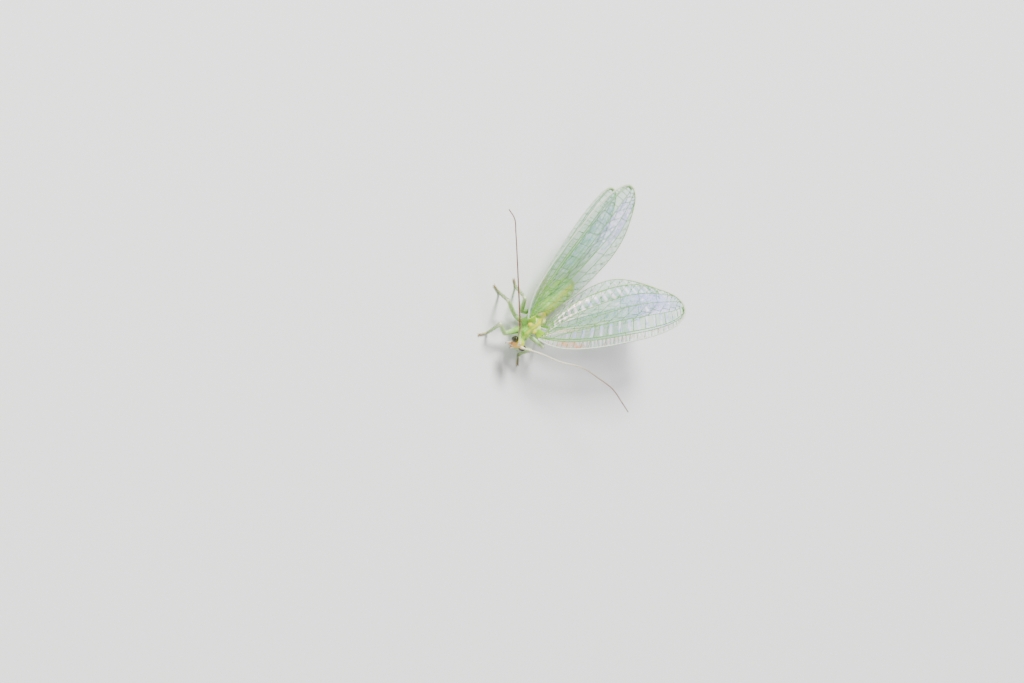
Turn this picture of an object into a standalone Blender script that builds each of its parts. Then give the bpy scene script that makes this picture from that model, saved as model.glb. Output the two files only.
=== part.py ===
"""A green lacewing (Chrysoperla), life size, standing with its wings half spread.

All sizes are in millimetres, and the last step turns the finished meshes into metres.
The insect looks along -Y, its left side is +X, and it stands on the plane z = 0.
"""
import math

import bmesh
import bpy
from mathutils import Matrix, Vector

METRES_PER_MM = 0.001
MERGE_DISTANCE = 0.0001       # points closer than this are one point after a union
GAP = 0.28                    # clear space between two pieces that meet face to face
EYE_GAP = 0.12                # clear space between an eye and its orbit
SHARP_EDGE = math.radians(35)

# Points round each ring of the body, the legs and the feelers
BODY_SIDES = 20
ABDOMEN_SIDES = 16
EYE_SIDES = 16
EYE_RINGS = 10
STUB_SIDES = 10
LEG_SIDES = 8
PALP_SIDES = 6
FEELER_SIDES = 7

# Moves the middle thorax off the origin, so that the origin is under the middle of the whole insect
ORIGIN_SHIFT = Vector((0.0, -4.0, 0.0))

# Thorax: front and back, centre, and half width and half height of its three parts
PROTHORAX_Y = (-1.34, -0.86)
MESOTHORAX_Y = (-0.61, 0.50)
METATHORAX_Y = (0.75, 1.40)
PROTHORAX_CENTRE = Vector((0.15, -1.10, 2.03))
MESOTHORAX_CENTRE = Vector((0.0, -0.05, 1.90))
METATHORAX_CENTRE = Vector((0.0, 1.08, 1.72))
PROTHORAX_HALF = (0.50, 0.42)
MESOTHORAX_HALF = (0.68, 0.76)
METATHORAX_HALF = (0.60, 0.66)
THORAX_SQUARENESS = 2.5
# Share of a thorax part's length and the share of its full width reached there
BARREL_SHAPE = [(0.0, 0.72), (0.10, 0.88), (0.32, 0.99), (0.62, 1.0), (0.88, 0.90), (1.0, 0.74)]

# Abdomen: its middle line sinks from the thorax to the floor
ABDOMEN_LINE = [(0.0, 1.74, 1.66), (0.06, 2.8, 1.38), (0.18, 3.95, 0.98), (0.36, 5.0, 0.78), (0.46, 5.6, 0.78)]
ABDOMEN_HALF_WIDTHS = [0.50, 0.54, 0.62, 0.75, 0.83, 0.79, 0.50]
ABDOMEN_FRONT_SHARE = 0.8     # the first ring is drawn in by this share
ABDOMEN_SEGMENTS = 8
SEGMENT_BULGE = 0.05
# Distance past the last segment and radius of each ring of the knob at the tail's end
TAIL_KNOB = [(0.08, 0.31), (0.22, 0.26), (0.32, 0.14)]

# Head: the capsule is turned a little to the insect's left
HEAD_CENTRE = Vector((0.33, -1.92, 2.08))
HEAD_YAW = math.radians(12)
# Height above the centre, forward shift, half width and half depth of each level of the capsule
HEAD_LEVELS = [
    (0.50, -0.04, 0.12, 0.12),
    (0.45, -0.04, 0.27, 0.24),
    (0.32, -0.02, 0.38, 0.32),
    (0.12, 0.00, 0.43, 0.36),
    (-0.12, 0.03, 0.42, 0.35),
    (-0.32, 0.08, 0.34, 0.28),
    (-0.48, 0.12, 0.25, 0.20),
    (-0.60, 0.14, 0.17, 0.13),
    (-0.66, 0.15, 0.08, 0.06),
]
EYE_SIDE = 0.52
EYE_HEIGHT = 0.10
EYE_FORWARD = 0.06
EYE_HALF = Vector((0.25, 0.27, 0.30))
SOCKET_RADIUS = 0.19
# Side, forward and height of the two ends of an antenna socket
SOCKET_FOOT = (0.16, 0.10, 0.28)
SOCKET_MOUTH = (0.30, 0.18, 0.66)
PALP_RADIUS = 0.12
PALP_TIP_RADIUS = 0.07
# Side, forward and height of the joints of the palps and the jaws, for the left side
MAXILLARY_PALP = [(0.20, 0.10, -0.36), (0.31, 0.20, -0.62), (0.31, 0.30, -0.82), (0.25, 0.38, -0.98)]
LABIAL_PALP = [(0.07, 0.02, -0.52), (0.12, 0.04, -0.74), (0.12, 0.12, -0.90)]
MANDIBLE = [(0.14, 0.22, -0.46), (0.15, 0.34, -0.60), (0.06, 0.38, -0.70)]

# Antennae: length of the stout first joint, then the bends of the thread
SCAPE_LENGTH = 0.27
FEELER_STEPS = 4
FEELER_RADII = [0.23, 0.25, 0.24, 0.22, 0.18, 0.10]
RIGHT_FEELER = [(-1.8, -1.28, 3.12), (-3.8, -0.45, 3.28), (-5.8, 0.27, 3.55),
                (-7.9, 0.90, 4.0), (-9.05, 1.18, 4.25), (-10.1, 1.02, 4.4)]
LEFT_FEELER = [(2.0, -1.0, 3.12), (3.44, 0.05, 3.2), (4.85, 1.25, 3.6),
               (6.25, 1.95, 3.95), (7.75, 2.5, 4.2), (9.1, 2.75, 4.25), (10.15, 2.9, 4.2)]

# Legs: end of the boss on the thorax, joint below the coxa, knee, ankle and toe
LEG_RADII = [0.25, 0.25, 0.25, 0.24, 0.21, 0.15]
BOSS_RADIUS = 0.27
BOSS_DEPTH = 0.24
LEGS = {
    "leg_fore_right": [(-0.25, -1.12, 1.56), (-0.48, -2.02, 1.10), (-1.86, -2.47, 1.92),
                       (-0.96, -2.68, 0.15), (-1.32, -3.41, 0.11)],
    "leg_mid_right": [(-0.45, -0.18, 1.18), (-0.90, -0.32, 0.92), (-2.96, -1.01, 2.05),
                      (-2.78, -0.11, 0.15), (-3.56, -0.22, 0.11)],
    "leg_hind_right": [(-0.40, 0.95, 1.12), (-0.72, 0.48, 0.80), (-2.28, 0.28, 2.34),
                       (-2.22, 1.45, 0.15), (-2.78, 1.63, 0.11)],
    "leg_fore_left": [(0.55, -1.12, 1.56), (0.98, -1.72, 1.05), (1.62, -1.08, 2.05),
                      (2.27, -0.99, 0.15), (2.92, -1.48, 0.11)],
    "leg_mid_left": [(0.45, -0.18, 1.18), (0.90, -0.05, 0.90), (2.25, 0.05, 1.95),
                     (2.45, 1.10, 0.15), (3.05, 1.55, 0.11)],
    "leg_hind_left": [(0.40, 1.02, 1.12), (0.78, 1.25, 0.80), (2.05, 1.85, 1.30),
                      (2.35, 3.30, 0.15), (2.80, 3.95, 0.11)],
}
LEG_CARRIERS = {"fore": "prothorax", "mid": "mesothorax", "hind": "metathorax"}
KNEE_CUT = 0.4                # how far before and after a knee the tube turns
JOINT_CUT = 0.28
BEND_MARGIN = 1.1             # keeps the inner side of a sharp bend from folding

# Wings: membrane thickness and the height and half width of a raised vein
WING_THICKNESS = 0.5
WING_TIP_THICKNESS = 0.36
VEIN_HEIGHT = 0.12
CROSS_VEIN_SHARE = 0.6
VEIN_HALF_WIDTH = 0.10
WIDEST_FOOT = 0.06            # no vein is wider than this share of the chord to each side
FRONT_EDGE_SHARE = 0.8        # height of the front edge's vein, as a share of a full vein
FADING_CHORD = 1.5            # veins grow lower where the chord is shorter than this
TIP_BEGINS = 0.9              # share of the length where the thinner tip begins
PAD_SIZE = Vector((0.34, 0.80, 0.40))
PAD_BEVEL = 0.08
HIND_PAD_SHARE = 0.75
# Front and hind edge as (along, across) from the root, matched point by point
FOREWING_FRONT = [(0.0, 0.0), (0.9, -0.66), (2.3, -1.16), (4.6, -1.44), (7.2, -1.46),
                  (9.6, -1.35), (11.4, -1.00), (12.35, -0.46), (12.78, 0.10)]
FOREWING_HIND = [(0.8, 0.4), (2.1, 1.40), (3.6, 2.12), (5.6, 2.58), (7.8, 2.84),
                 (9.6, 2.64), (11.2, 1.98), (12.3, 1.28), (12.78, 0.62)]
HINDWING_FRONT = [(0.0, 0.0), (0.8, -0.42), (2.0, -0.78), (3.9, -1.04), (6.2, -1.12),
                  (8.2, -1.06), (9.8, -0.80), (10.65, -0.38), (11.0, 0.10)]
HINDWING_HIND = [(0.6, 0.3), (1.8, 0.92), (3.2, 1.56), (5.0, 2.10), (6.8, 2.32),
                 (8.3, 2.06), (9.7, 1.50), (10.6, 1.00), (11.0, 0.56)]
# Share of the chord at which each long vein runs, from root to tip
FOREWING_VEINS = [(0.34, 0.18, 0.14, 0.12, 0.16), (0.52, 0.40, 0.36, 0.34, 0.38),
                  (0.70, 0.60, 0.58, 0.56, 0.60), (0.88, 0.80, 0.80, 0.78, 0.82)]
HINDWING_VEINS = [(0.34, 0.16, 0.12, 0.12, 0.18), (0.56, 0.42, 0.38, 0.36, 0.42),
                  (0.80, 0.68, 0.68, 0.66, 0.70)]
WINGS = {
    "forewing_left": dict(side=1, root=(0.93, -0.55, 2.62), sweep=25.2, raised=14.5, roll=20, kind="fore"),
    "forewing_right": dict(side=-1, root=(0.93, -0.55, 2.62), sweep=19.5, raised=13.8, roll=5, kind="fore"),
    "hindwing_left": dict(side=1, root=(0.90, 0.74, 1.70), sweep=24.0, raised=10.2, roll=12, kind="hind"),
    "hindwing_right": dict(side=-1, root=(0.90, 0.74, 1.70), sweep=22.8, raised=13.0, roll=9, kind="hind"),
}
# Cross veins: their number, the shares along the wing where they begin and end, and half a vein's width
FOREWING_RUNGS = 10
HINDWING_RUNGS = 8
FIRST_RUNG = 0.10
LAST_RUNG = 0.93
RUNG_FOOT = 0.008
TIP_DROOP = 0.30
EDGE_STEPS = 12
WING_PLANS = {
    "fore": dict(front=FOREWING_FRONT, hind=FOREWING_HIND, veins=FOREWING_VEINS,
                 rungs=FOREWING_RUNGS, arch=0.22),
    "hind": dict(front=HINDWING_FRONT, hind=HINDWING_HIND, veins=HINDWING_VEINS,
                 rungs=HINDWING_RUNGS, arch=0.12),
}

COLOURS = {
    "head": (0.52, 0.60, 0.10),
    "eye": (0.10, 0.12, 0.05),
    "feeler": (0.42, 0.20, 0.10),
    "thorax": (0.40, 0.62, 0.12),
    "abdomen": (0.52, 0.70, 0.16),
    "leg": (0.66, 0.74, 0.44),
    "wing": (0.62, 0.78, 0.60),
}


def clear_scene():
    for item in list(bpy.data.objects):
        bpy.data.objects.remove(item, do_unlink=True)


def give_material(item, kind, roughness):
    finish = bpy.data.materials.new(item.name + "_finish")
    finish.use_nodes = True
    shader = finish.node_tree.nodes["Principled BSDF"]
    shader.inputs["Base Color"].default_value = (*COLOURS[kind], 1.0)
    shader.inputs["Roughness"].default_value = roughness
    shader.inputs["Metallic"].default_value = 0.0
    item.data.materials.append(finish)


def make_object(name, points, faces):
    """A closed mesh object with its faces pointing out."""
    mesh = bpy.data.meshes.new(name)
    mesh.from_pydata([tuple(point) for point in points], [], faces)
    work = bmesh.new()
    work.from_mesh(mesh)
    bmesh.ops.recalc_face_normals(work, faces=work.faces)
    work.to_mesh(mesh)
    work.free()
    item = bpy.data.objects.new(name, mesh)
    bpy.context.scene.collection.objects.link(item)
    return item


def keep_largest_surface(item):
    work = bmesh.new()
    work.from_mesh(item.data)
    bmesh.ops.remove_doubles(work, verts=work.verts, dist=MERGE_DISTANCE)
    unseen = set(work.verts)
    groups = []
    while unseen:
        stack = [unseen.pop()]
        group = set(stack)
        while stack:
            for edge in stack.pop().link_edges:
                for vert in edge.verts:
                    if vert in unseen:
                        unseen.discard(vert)
                        group.add(vert)
                        stack.append(vert)
        groups.append(group)
    largest = max(groups, key=len)
    bmesh.ops.delete(work, geom=[vert for vert in work.verts if vert not in largest], context="VERTS")
    work.to_mesh(item.data)
    work.free()


def combine(item, others, operation):
    """Join the other objects to the first one, or cut them from it, and remove them."""
    group = bpy.data.collections.new(item.name + "_pieces")
    bpy.context.scene.collection.children.link(group)
    for other in others:
        group.objects.link(other)
    change = item.modifiers.new("combine", "BOOLEAN")
    change.operation = operation
    change.operand_type = "COLLECTION"
    change.collection = group
    change.solver = "EXACT"
    result = bpy.data.meshes.new_from_object(item.evaluated_get(bpy.context.evaluated_depsgraph_get()))
    item.modifiers.clear()
    item.data = result
    for other in others:
        bpy.data.objects.remove(other, do_unlink=True)
    bpy.data.collections.remove(group)
    keep_largest_surface(item)


def smooth_line(points, steps):
    """A Catmull-Rom curve through the points, with the given steps in each span."""
    points = [Vector(point) for point in points]
    padded = [2 * points[0] - points[1]] + points + [2 * points[-1] - points[-2]]
    line = []
    for index in range(1, len(padded) - 2):
        before, start, end, after = padded[index - 1:index + 3]
        for step in range(steps):
            t = step / steps
            line.append(0.5 * (2 * start + (end - before) * t
                               + (2 * before - 5 * start + 4 * end - after) * t * t
                               + (3 * start - before - 3 * end + after) * t ** 3))
    line.append(points[-1])
    return line


def read_list(values, share):
    """The value at a share from 0 to 1 of a list, read on straight lines between its entries."""
    place = min(max(share, 0.0), 1.0) * (len(values) - 1)
    index = min(int(place), len(values) - 2)
    rest = place - index
    return values[index] * (1 - rest) + values[index + 1] * rest


def cut_corners(points, cuts, radius):
    """The points with each inner corner cut off, further back where a tube would fold at a sharp bend."""
    points = [Vector(point) for point in points]
    line = [points[0]]
    for before, corner, after, cut in zip(points, points[1:], points[2:], cuts):
        turn = (corner - before).angle(after - corner)
        needed = BEND_MARGIN * radius * math.tan(turn / 4) / math.cos(turn / 2)
        reach = min(max(cut, needed), 0.49 * (corner - before).length, 0.49 * (after - corner).length)
        line.append(corner + (before - corner).normalized() * reach)
        line.append(corner + (after - corner).normalized() * reach)
    line.append(points[-1])
    return line


def skin_rings(rings):
    """Faces over rings of equal count, closed at both ends, one row of points after another."""
    count = len(rings[0])
    points = [point for ring in rings for point in ring]
    faces = []
    for row in range(len(rings) - 1):
        for column in range(count):
            after = (column + 1) % count
            corner = row * count + column
            faces.append((corner, row * count + after, (row + 1) * count + after, (row + 1) * count + column))
    faces.append(tuple(range(count)))
    faces.append(tuple((len(rings) - 1) * count + column for column in range(count)))
    return points, faces


def tube_rings(line, radii, sides):
    """Rings mitred at each bend of a line, carried along it without twist, never below the floor."""
    rings = []
    spans = [(after - before).normalized() for before, after in zip(line, line[1:])]
    side = spans[0].cross(Vector((0, 0, 1))).normalized()
    for point, radius, arriving, leaving in zip(line, radii, spans[:1] + spans, spans + spans[-1:]):
        mitre = (arriving + leaving).normalized()
        up = side.cross(arriving)
        ring = []
        for step in range(sides):
            angle = 2 * math.pi * (step + 0.5) / sides
            offset = (side * math.cos(angle) + up * math.sin(angle)) * radius
            spot = point + offset - arriving * (offset.dot(mitre) / arriving.dot(mitre))
            spot.z = max(spot.z, 0.0)
            ring.append(spot)
        rings.append(ring)
        side = arriving.rotation_difference(leaving) @ side
    return rings


def make_tube(name, line, radii, sides):
    points, faces = skin_rings(tube_rings(line, radii, sides))
    return make_object(name, points, faces)


def level_ring(middle, left, forward, half_width, half_depth, sides):
    """A flat oval ring of points round a middle, along two given directions."""
    angles = [2 * math.pi * step / sides for step in range(sides)]
    return [middle + left * half_width * math.cos(angle) + forward * half_depth * math.sin(angle)
            for angle in angles]


def make_ellipsoid(name, centre, half, axes):
    """An ellipsoid whose half sizes lie along three given directions."""
    left, forward, up = axes
    rows = []
    for row in range(1, EYE_RINGS):
        lean = math.pi * row / EYE_RINGS
        middle = centre + up * half.z * math.cos(lean)
        widest = math.sin(lean)
        rows.append(level_ring(middle, left, forward, half.x * widest, half.y * widest, EYE_SIDES))
    points, faces = skin_rings(rows)
    return make_object(name, points, faces)


def thorax_ring(centre, y, half_width, half_height):
    """An upright ring with slightly squared corners."""
    power = 2 / THORAX_SQUARENESS
    ring = []
    for step in range(BODY_SIDES):
        angle = 2 * math.pi * step / BODY_SIDES
        across = math.copysign(abs(math.cos(angle)) ** power, math.cos(angle))
        up = math.copysign(abs(math.sin(angle)) ** power, math.sin(angle))
        ring.append(Vector((centre.x + half_width * across, y, centre.z + half_height * up)))
    return ring


def make_thorax_piece(name, centre, reach, half):
    """A barrel with rounded ends, fuller in its middle."""
    front, back = reach
    rings = []
    for share, fullness in BARREL_SHAPE:
        y = front + (back - front) * share
        rings.append(thorax_ring(centre, y, half[0] * fullness, half[1] * fullness))
    points, faces = skin_rings(rings)
    return make_object(name, points, faces)


def leg_boss(name, joints):
    """The short stub on the thorax that a coxa meets."""
    end = Vector(joints[0])
    direction = (Vector(joints[1]) - end).normalized()
    return make_tube(name + "_boss", [end - direction * BOSS_DEPTH, end], [BOSS_RADIUS] * 2, STUB_SIDES)


def wing_axes(wing):
    """Directions along the wing, across it to its hind edge, and out of its upper face."""
    sweep = math.radians(wing["sweep"])
    raised = math.radians(wing["raised"])
    roll = math.radians(wing["roll"])
    along = Vector((math.sin(sweep) * math.cos(raised), math.cos(sweep) * math.cos(raised), math.sin(raised)))
    level = Vector((-math.cos(sweep), math.sin(sweep), 0.0))
    upward = along.cross(level)
    across = level * math.cos(roll) - upward * math.sin(roll)
    normal = along.cross(across)
    return along, across, normal


def mirrored(point, side):
    return Vector((point[0] * side, point[1], point[2]))


def wing_pad(name, wing):
    """The raised pad on the side of the thorax whose outer face a wing's root meets."""
    along, across, _ = wing_axes(wing)
    root_line = along - across * (along.x / across.x)
    tilt = math.atan2(root_line.z, root_line.y)
    outer = Vector(wing["root"]) - Vector((GAP, 0, 0))
    length = PAD_SIZE.y * (1.0 if wing["kind"] == "fore" else HIND_PAD_SHARE)
    middle = outer + Vector((-PAD_SIZE.x / 2, math.cos(tilt) * length / 2, math.sin(tilt) * length / 2))
    turn = Matrix.Rotation(tilt, 3, "X")
    work = bmesh.new()
    bmesh.ops.create_cube(work, size=1.0)
    for vert in work.verts:
        vert.co = middle + turn @ (vert.co * Vector((PAD_SIZE.x, length, PAD_SIZE.z)))
    bmesh.ops.bevel(work, geom=work.edges, offset=PAD_BEVEL, segments=1, affect="EDGES")
    work.verts.index_update()
    points = [mirrored(vert.co, wing["side"]) for vert in work.verts]
    faces = [tuple(vert.index for vert in face.verts) for face in work.faces]
    work.free()
    return make_object(name + "_pad", points, faces)


def build_thorax():
    made = {
        "prothorax": make_thorax_piece("prothorax", PROTHORAX_CENTRE, PROTHORAX_Y, PROTHORAX_HALF),
        "mesothorax": make_thorax_piece("mesothorax", MESOTHORAX_CENTRE, MESOTHORAX_Y, MESOTHORAX_HALF),
        "metathorax": make_thorax_piece("metathorax", METATHORAX_CENTRE, METATHORAX_Y, METATHORAX_HALF),
    }
    added = {name: [] for name in made}
    for name, joints in LEGS.items():
        added[LEG_CARRIERS[name.split("_")[1]]].append(leg_boss(name, joints))
    for name, wing in WINGS.items():
        carrier = "mesothorax" if wing["kind"] == "fore" else "metathorax"
        added[carrier].append(wing_pad(name, wing))
    for name, item in made.items():
        combine(item, added[name], "UNION")
        give_material(item, "thorax", 0.5)


def build_abdomen():
    """A soft tube of bulging segments, flat where it lies on the floor, with a small knob at its end."""
    rows = ABDOMEN_SEGMENTS * 3
    line = smooth_line(ABDOMEN_LINE, EDGE_STEPS)
    centres = []
    radii = []
    for row in range(rows + 1):
        share = row / rows
        place = share * (len(line) - 1)
        index = min(int(place), len(line) - 2)
        centres.append(line[index].lerp(line[index + 1], place - index))
        within = (row % 3) / 3
        bulge = 1 + SEGMENT_BULGE * math.sin(math.pi * within)
        radii.append(read_list(ABDOMEN_HALF_WIDTHS, share) * bulge)
    radii[0] *= ABDOMEN_FRONT_SHARE
    end = centres[-1]
    ahead = (centres[-1] - centres[-2]).normalized()
    for distance, radius in TAIL_KNOB:
        centres.append(end + ahead * distance)
        radii.append(radius)
    points, faces = skin_rings(tube_rings(centres, radii, ABDOMEN_SIDES))
    give_material(make_object("abdomen", points, faces), "abdomen", 0.45)


def head_axes():
    """Directions to the insect's left, forward and up, for the turned head."""
    left = Vector((math.cos(HEAD_YAW), math.sin(HEAD_YAW), 0.0))
    forward = Vector((math.sin(HEAD_YAW), -math.cos(HEAD_YAW), 0.0))
    return left, forward, Vector((0.0, 0.0, 1.0))


def head_point(side, forward_shift, height):
    left, forward, up = head_axes()
    return HEAD_CENTRE + left * side + forward * forward_shift + up * height


def socket_line(side):
    """The two ends of the short tube on the head that an antenna meets."""
    return [head_point(spot[0] * side, spot[1], spot[2]) for spot in (SOCKET_FOOT, SOCKET_MOUTH)]


def build_head():
    left, forward, _ = head_axes()
    rings = []
    for height, shift, half_width, half_depth in HEAD_LEVELS:
        middle = head_point(0.0, shift, height)
        rings.append(level_ring(middle, left, forward, half_width, half_depth, BODY_SIDES))
    points, faces = skin_rings(rings)
    head = make_object("head", points, faces)
    mouth = []
    for side in (-1, 1):
        for palp in (MAXILLARY_PALP, LABIAL_PALP, MANDIBLE):
            line = [head_point(spot[0] * side, spot[1], spot[2]) for spot in palp]
            radii = [PALP_RADIUS] * (len(line) - 1) + [PALP_TIP_RADIUS]
            mouth.append(make_tube("palp", line, radii, PALP_SIDES))
        mouth.append(make_tube("socket", socket_line(side), [SOCKET_RADIUS] * 2, STUB_SIDES))
    combine(head, mouth, "UNION")
    combine(head, [make_eye("orbit", side, EYE_GAP) for side in (-1, 1)], "DIFFERENCE")
    give_material(head, "head", 0.45)
    for side, name in ((-1, "eye_right"), (1, "eye_left")):
        give_material(make_eye(name, side, 0.0), "eye", 0.12)


def make_eye(name, side, clearance):
    half = EYE_HALF + Vector((clearance,) * 3)
    centre = head_point(EYE_SIDE * side, EYE_FORWARD, EYE_HEIGHT)
    return make_ellipsoid(name, centre, half, head_axes())


def build_feelers():
    for name, side, bends in (("antenna_right", -1, RIGHT_FEELER), ("antenna_left", 1, LEFT_FEELER)):
        foot, mouth = socket_line(side)
        direction = (mouth - foot).normalized()
        root = mouth + direction * GAP
        line = [root] + smooth_line([root + direction * SCAPE_LENGTH, *bends], FEELER_STEPS)
        radii = [read_list(FEELER_RADII, index / (len(line) - 1)) for index in range(len(line))]
        give_material(make_tube(name, line, radii, FEELER_SIDES), "feeler", 0.6)


def build_legs():
    for name, joints in LEGS.items():
        boss_end = Vector(joints[0])
        direction = (Vector(joints[1]) - boss_end).normalized()
        chain = [boss_end + direction * GAP] + [Vector(joint) for joint in joints[1:]]
        line = cut_corners(chain, (JOINT_CUT, KNEE_CUT, JOINT_CUT), max(LEG_RADII))
        radii = [read_list(LEG_RADII, index / (len(line) - 1)) for index in range(len(line))]
        # Rings start at the toe, where they are level, so that the foot is flat on the floor
        give_material(make_tube(name, line[::-1], radii[::-1], LEG_SIDES), "leg", 0.55)


def wing_columns(rungs):
    """Shares along the wing of each column of points, with the rungs' crests marked."""
    columns = [(0.0, 0.0)]
    for index in range(rungs):
        middle = FIRST_RUNG + (LAST_RUNG - FIRST_RUNG) * index / (rungs - 1)
        columns += [(middle - RUNG_FOOT, 0.0), (middle, 1.0), (middle + RUNG_FOOT, 0.0)]
    columns.append((1.0, 0.0))
    return columns


def wing_rows(veins, share, chord):
    """Shares across the wing of each row of points, with the long veins' crests marked."""
    rows = [(0.0, FRONT_EDGE_SHARE)]
    foot = min(VEIN_HALF_WIDTH / chord, WIDEST_FOOT)
    for vein in veins:
        crest = read_list(vein, share)
        rows += [(crest - foot, 0.0), (crest, 1.0), (crest + foot, 0.0)]
    rows.append((1.0, 0.0))
    return rows


def build_wing(name, wing):
    """A thin curved blade whose upper face carries the long veins and cross veins as ridges."""
    plan = WING_PLANS[wing["kind"]]
    front = smooth_line([(*spot, 0) for spot in plan["front"]], EDGE_STEPS)
    hind = smooth_line([(*spot, 0) for spot in plan["hind"]], EDGE_STEPS)
    along, across, normal = wing_axes(wing)
    root = Vector(wing["root"])
    upper = []
    lower = []
    for share, rung in wing_columns(plan["rungs"]):
        start = read_list(front, share)
        end = read_list(hind, share)
        outward = normal
        if share == 0.0:
            # The root's end face stands upright, along the side of the thorax
            end = Vector((end.x, -end.x * along.x / across.x, 0))
            outward = normal - across * (normal.x / across.x)
        thickness = WING_THICKNESS if share < TIP_BEGINS else WING_TIP_THICKNESS
        chord = (end - start).length
        fading = min(1.0, chord / FADING_CHORD)
        for place, crest in wing_rows(plan["veins"], share, chord):
            flat = start.lerp(end, place)
            lift = plan["arch"] * math.sin(math.pi * place) * math.sin(math.pi * share)
            lift -= TIP_DROOP * share ** 2
            middle = root + along * flat.x + across * flat.y + normal * lift
            raised = VEIN_HEIGHT * fading * max(crest, rung * CROSS_VEIN_SHARE)
            upper.append(mirrored(middle + outward * (thickness / 2 + raised), wing["side"]))
            lower.append(mirrored(middle - outward * thickness / 2, wing["side"]))
    along_count = len(wing_columns(plan["rungs"]))
    faces = blade_faces(along_count, len(upper) // along_count)
    give_material(make_object(name, upper + lower, faces), "wing", 0.25)


def blade_faces(along_count, across_count):
    """Triangles split alike on both faces of a blade, and a rim between them."""
    offset = along_count * across_count
    faces = []
    for i in range(along_count - 1):
        for j in range(across_count - 1):
            near = i * across_count + j
            far = near + across_count
            faces += [(near, near + 1, far + 1), (near, far + 1, far)]
            faces += [(offset + near, offset + far + 1, offset + near + 1),
                      (offset + near, offset + far, offset + far + 1)]
    rim = [i * across_count for i in range(along_count)]
    rim += [(along_count - 1) * across_count + j for j in range(1, across_count)]
    rim += [i * across_count + across_count - 1 for i in range(along_count - 2, -1, -1)]
    rim += list(range(across_count - 2, 0, -1))
    for start, end in zip(rim, rim[1:] + rim[:1]):
        faces += [(start, end, offset + end), (start, offset + end, offset + start)]
    return faces


def finish_all():
    """Move the insect over the origin, turn it into metres and shade its round pieces smooth."""
    into_metres = Matrix.Scale(METRES_PER_MM, 4) @ Matrix.Translation(ORIGIN_SHIFT)
    for item in bpy.data.objects:
        item.data.transform(into_metres)
        item.data.shade_smooth()
        item.data.set_sharp_from_angle(angle=SHARP_EDGE)


def main():
    clear_scene()
    build_thorax()
    build_abdomen()
    build_head()
    build_feelers()
    build_legs()
    for name, wing in WINGS.items():
        build_wing(name, wing)
    finish_all()


main()
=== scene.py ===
"""The looks of a green lacewing: one soft skin, faceted eyes, veined clear wings and fine hairs.

Shapes are worked out in millimetres, in the frame where the middle thorax is over the origin,
and each finished mesh is then moved and turned into metres, as the solids are.
The insect looks along -Y, its left side is +X, and it stands on the plane z = 0.
"""
import math
import random

import bmesh
import bpy
from mathutils import Matrix, Vector, kdtree, noise
from mathutils.bvhtree import BVHTree


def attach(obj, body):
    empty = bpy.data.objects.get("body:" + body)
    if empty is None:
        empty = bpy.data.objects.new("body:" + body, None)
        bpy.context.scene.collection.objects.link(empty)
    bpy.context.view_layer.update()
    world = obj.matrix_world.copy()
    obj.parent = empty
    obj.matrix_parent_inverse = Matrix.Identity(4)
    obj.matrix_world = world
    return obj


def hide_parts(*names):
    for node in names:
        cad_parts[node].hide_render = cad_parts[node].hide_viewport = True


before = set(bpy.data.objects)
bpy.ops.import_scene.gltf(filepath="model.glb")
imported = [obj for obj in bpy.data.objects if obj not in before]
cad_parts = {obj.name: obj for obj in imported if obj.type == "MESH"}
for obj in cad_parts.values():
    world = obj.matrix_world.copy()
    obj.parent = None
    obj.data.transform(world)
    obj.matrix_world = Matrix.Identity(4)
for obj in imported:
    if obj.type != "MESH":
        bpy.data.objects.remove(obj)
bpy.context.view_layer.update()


METRES_PER_MM = 0.001
ORIGIN_SHIFT = Vector((0.0, -4.0, 0.0))
INTO_METRES = Matrix.Scale(METRES_PER_MM, 4) @ Matrix.Translation(ORIGIN_SHIFT)
UP = Vector((0.0, 0.0, 1.0))
LEVEL = (Vector((1, 0, 0)), Vector((0, 1, 0)), UP)
SEED = 7

# Camera: it looks down on the insect from its front right, rolled as in the photo
VIEW_RIGHT = Vector((0.392, 0.631, 0.6697))
VIEW_UP = Vector((-0.8035, 0.5886, -0.0846))
FRAME_CENTRE = ORIGIN_SHIFT + Vector((0.0, 0.0, 1.9))
CENTRE_SHIFT = (-1.425, -1.3125)      # millimetres to the right and up in the picture
CAMERA_DISTANCE = 640.0
LENS = 300.0
SENSOR_WIDTH = 36.0
FLOOR_REACH = 1.5            # metres

# Colours, linear
LEAF_GREEN = (0.17, 0.46, 0.008)
DEEP_GREEN = (0.07, 0.25, 0.010)
YELLOW = (0.78, 0.66, 0.02)
CREAM = (0.84, 0.80, 0.30)
FACE_YELLOW = (0.78, 0.34, 0.012)
VERTEX_GREEN = (0.50, 0.60, 0.01)
DARK_MARK = (0.09, 0.012, 0.006)
OLIVE = (0.26, 0.24, 0.04)
ABDOMEN_GREEN = (0.38, 0.70, 0.015)
# Colour of the painted sheen on the abdomen
SHEEN_BLUISH_WHITE = (0.70, 0.96, 0.72)
HAIR_PALE = (0.62, 0.70, 0.30)
HAIR_DARK = (0.16, 0.12, 0.07)
CLAW_BROWN = (0.20, 0.09, 0.04)
LEG_GREEN = (0.42, 0.64, 0.24)
KNEE_PALE = (0.70, 0.80, 0.46)
TARSUS_BROWN = (0.42, 0.22, 0.09)
PALP_WHITE = (0.88, 0.80, 0.66)
FEELER_ROOT = (0.84, 0.78, 0.56)
FEELER_BROWN = (0.20, 0.055, 0.028)
VEIN_GREEN = (0.15, 0.38, 0.03)
VEIN_DARK = (0.03, 0.11, 0.02)
MARGIN_PALE = (0.58, 0.66, 0.52)
MEMBRANE_CLEAR = (0.26, 0.56, 0.22)
SHEEN_TEAL = (0.10, 0.45, 0.32)
# Colours of the painted reflections on the wing cells
SHEEN_WHITE = (0.94, 0.96, 0.98)
SHEEN_LILAC = (0.66, 0.62, 0.92)
SHEEN_VIOLET = (0.34, 0.44, 0.86)
SHEEN_PINK = (0.88, 0.46, 0.50)
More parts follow.
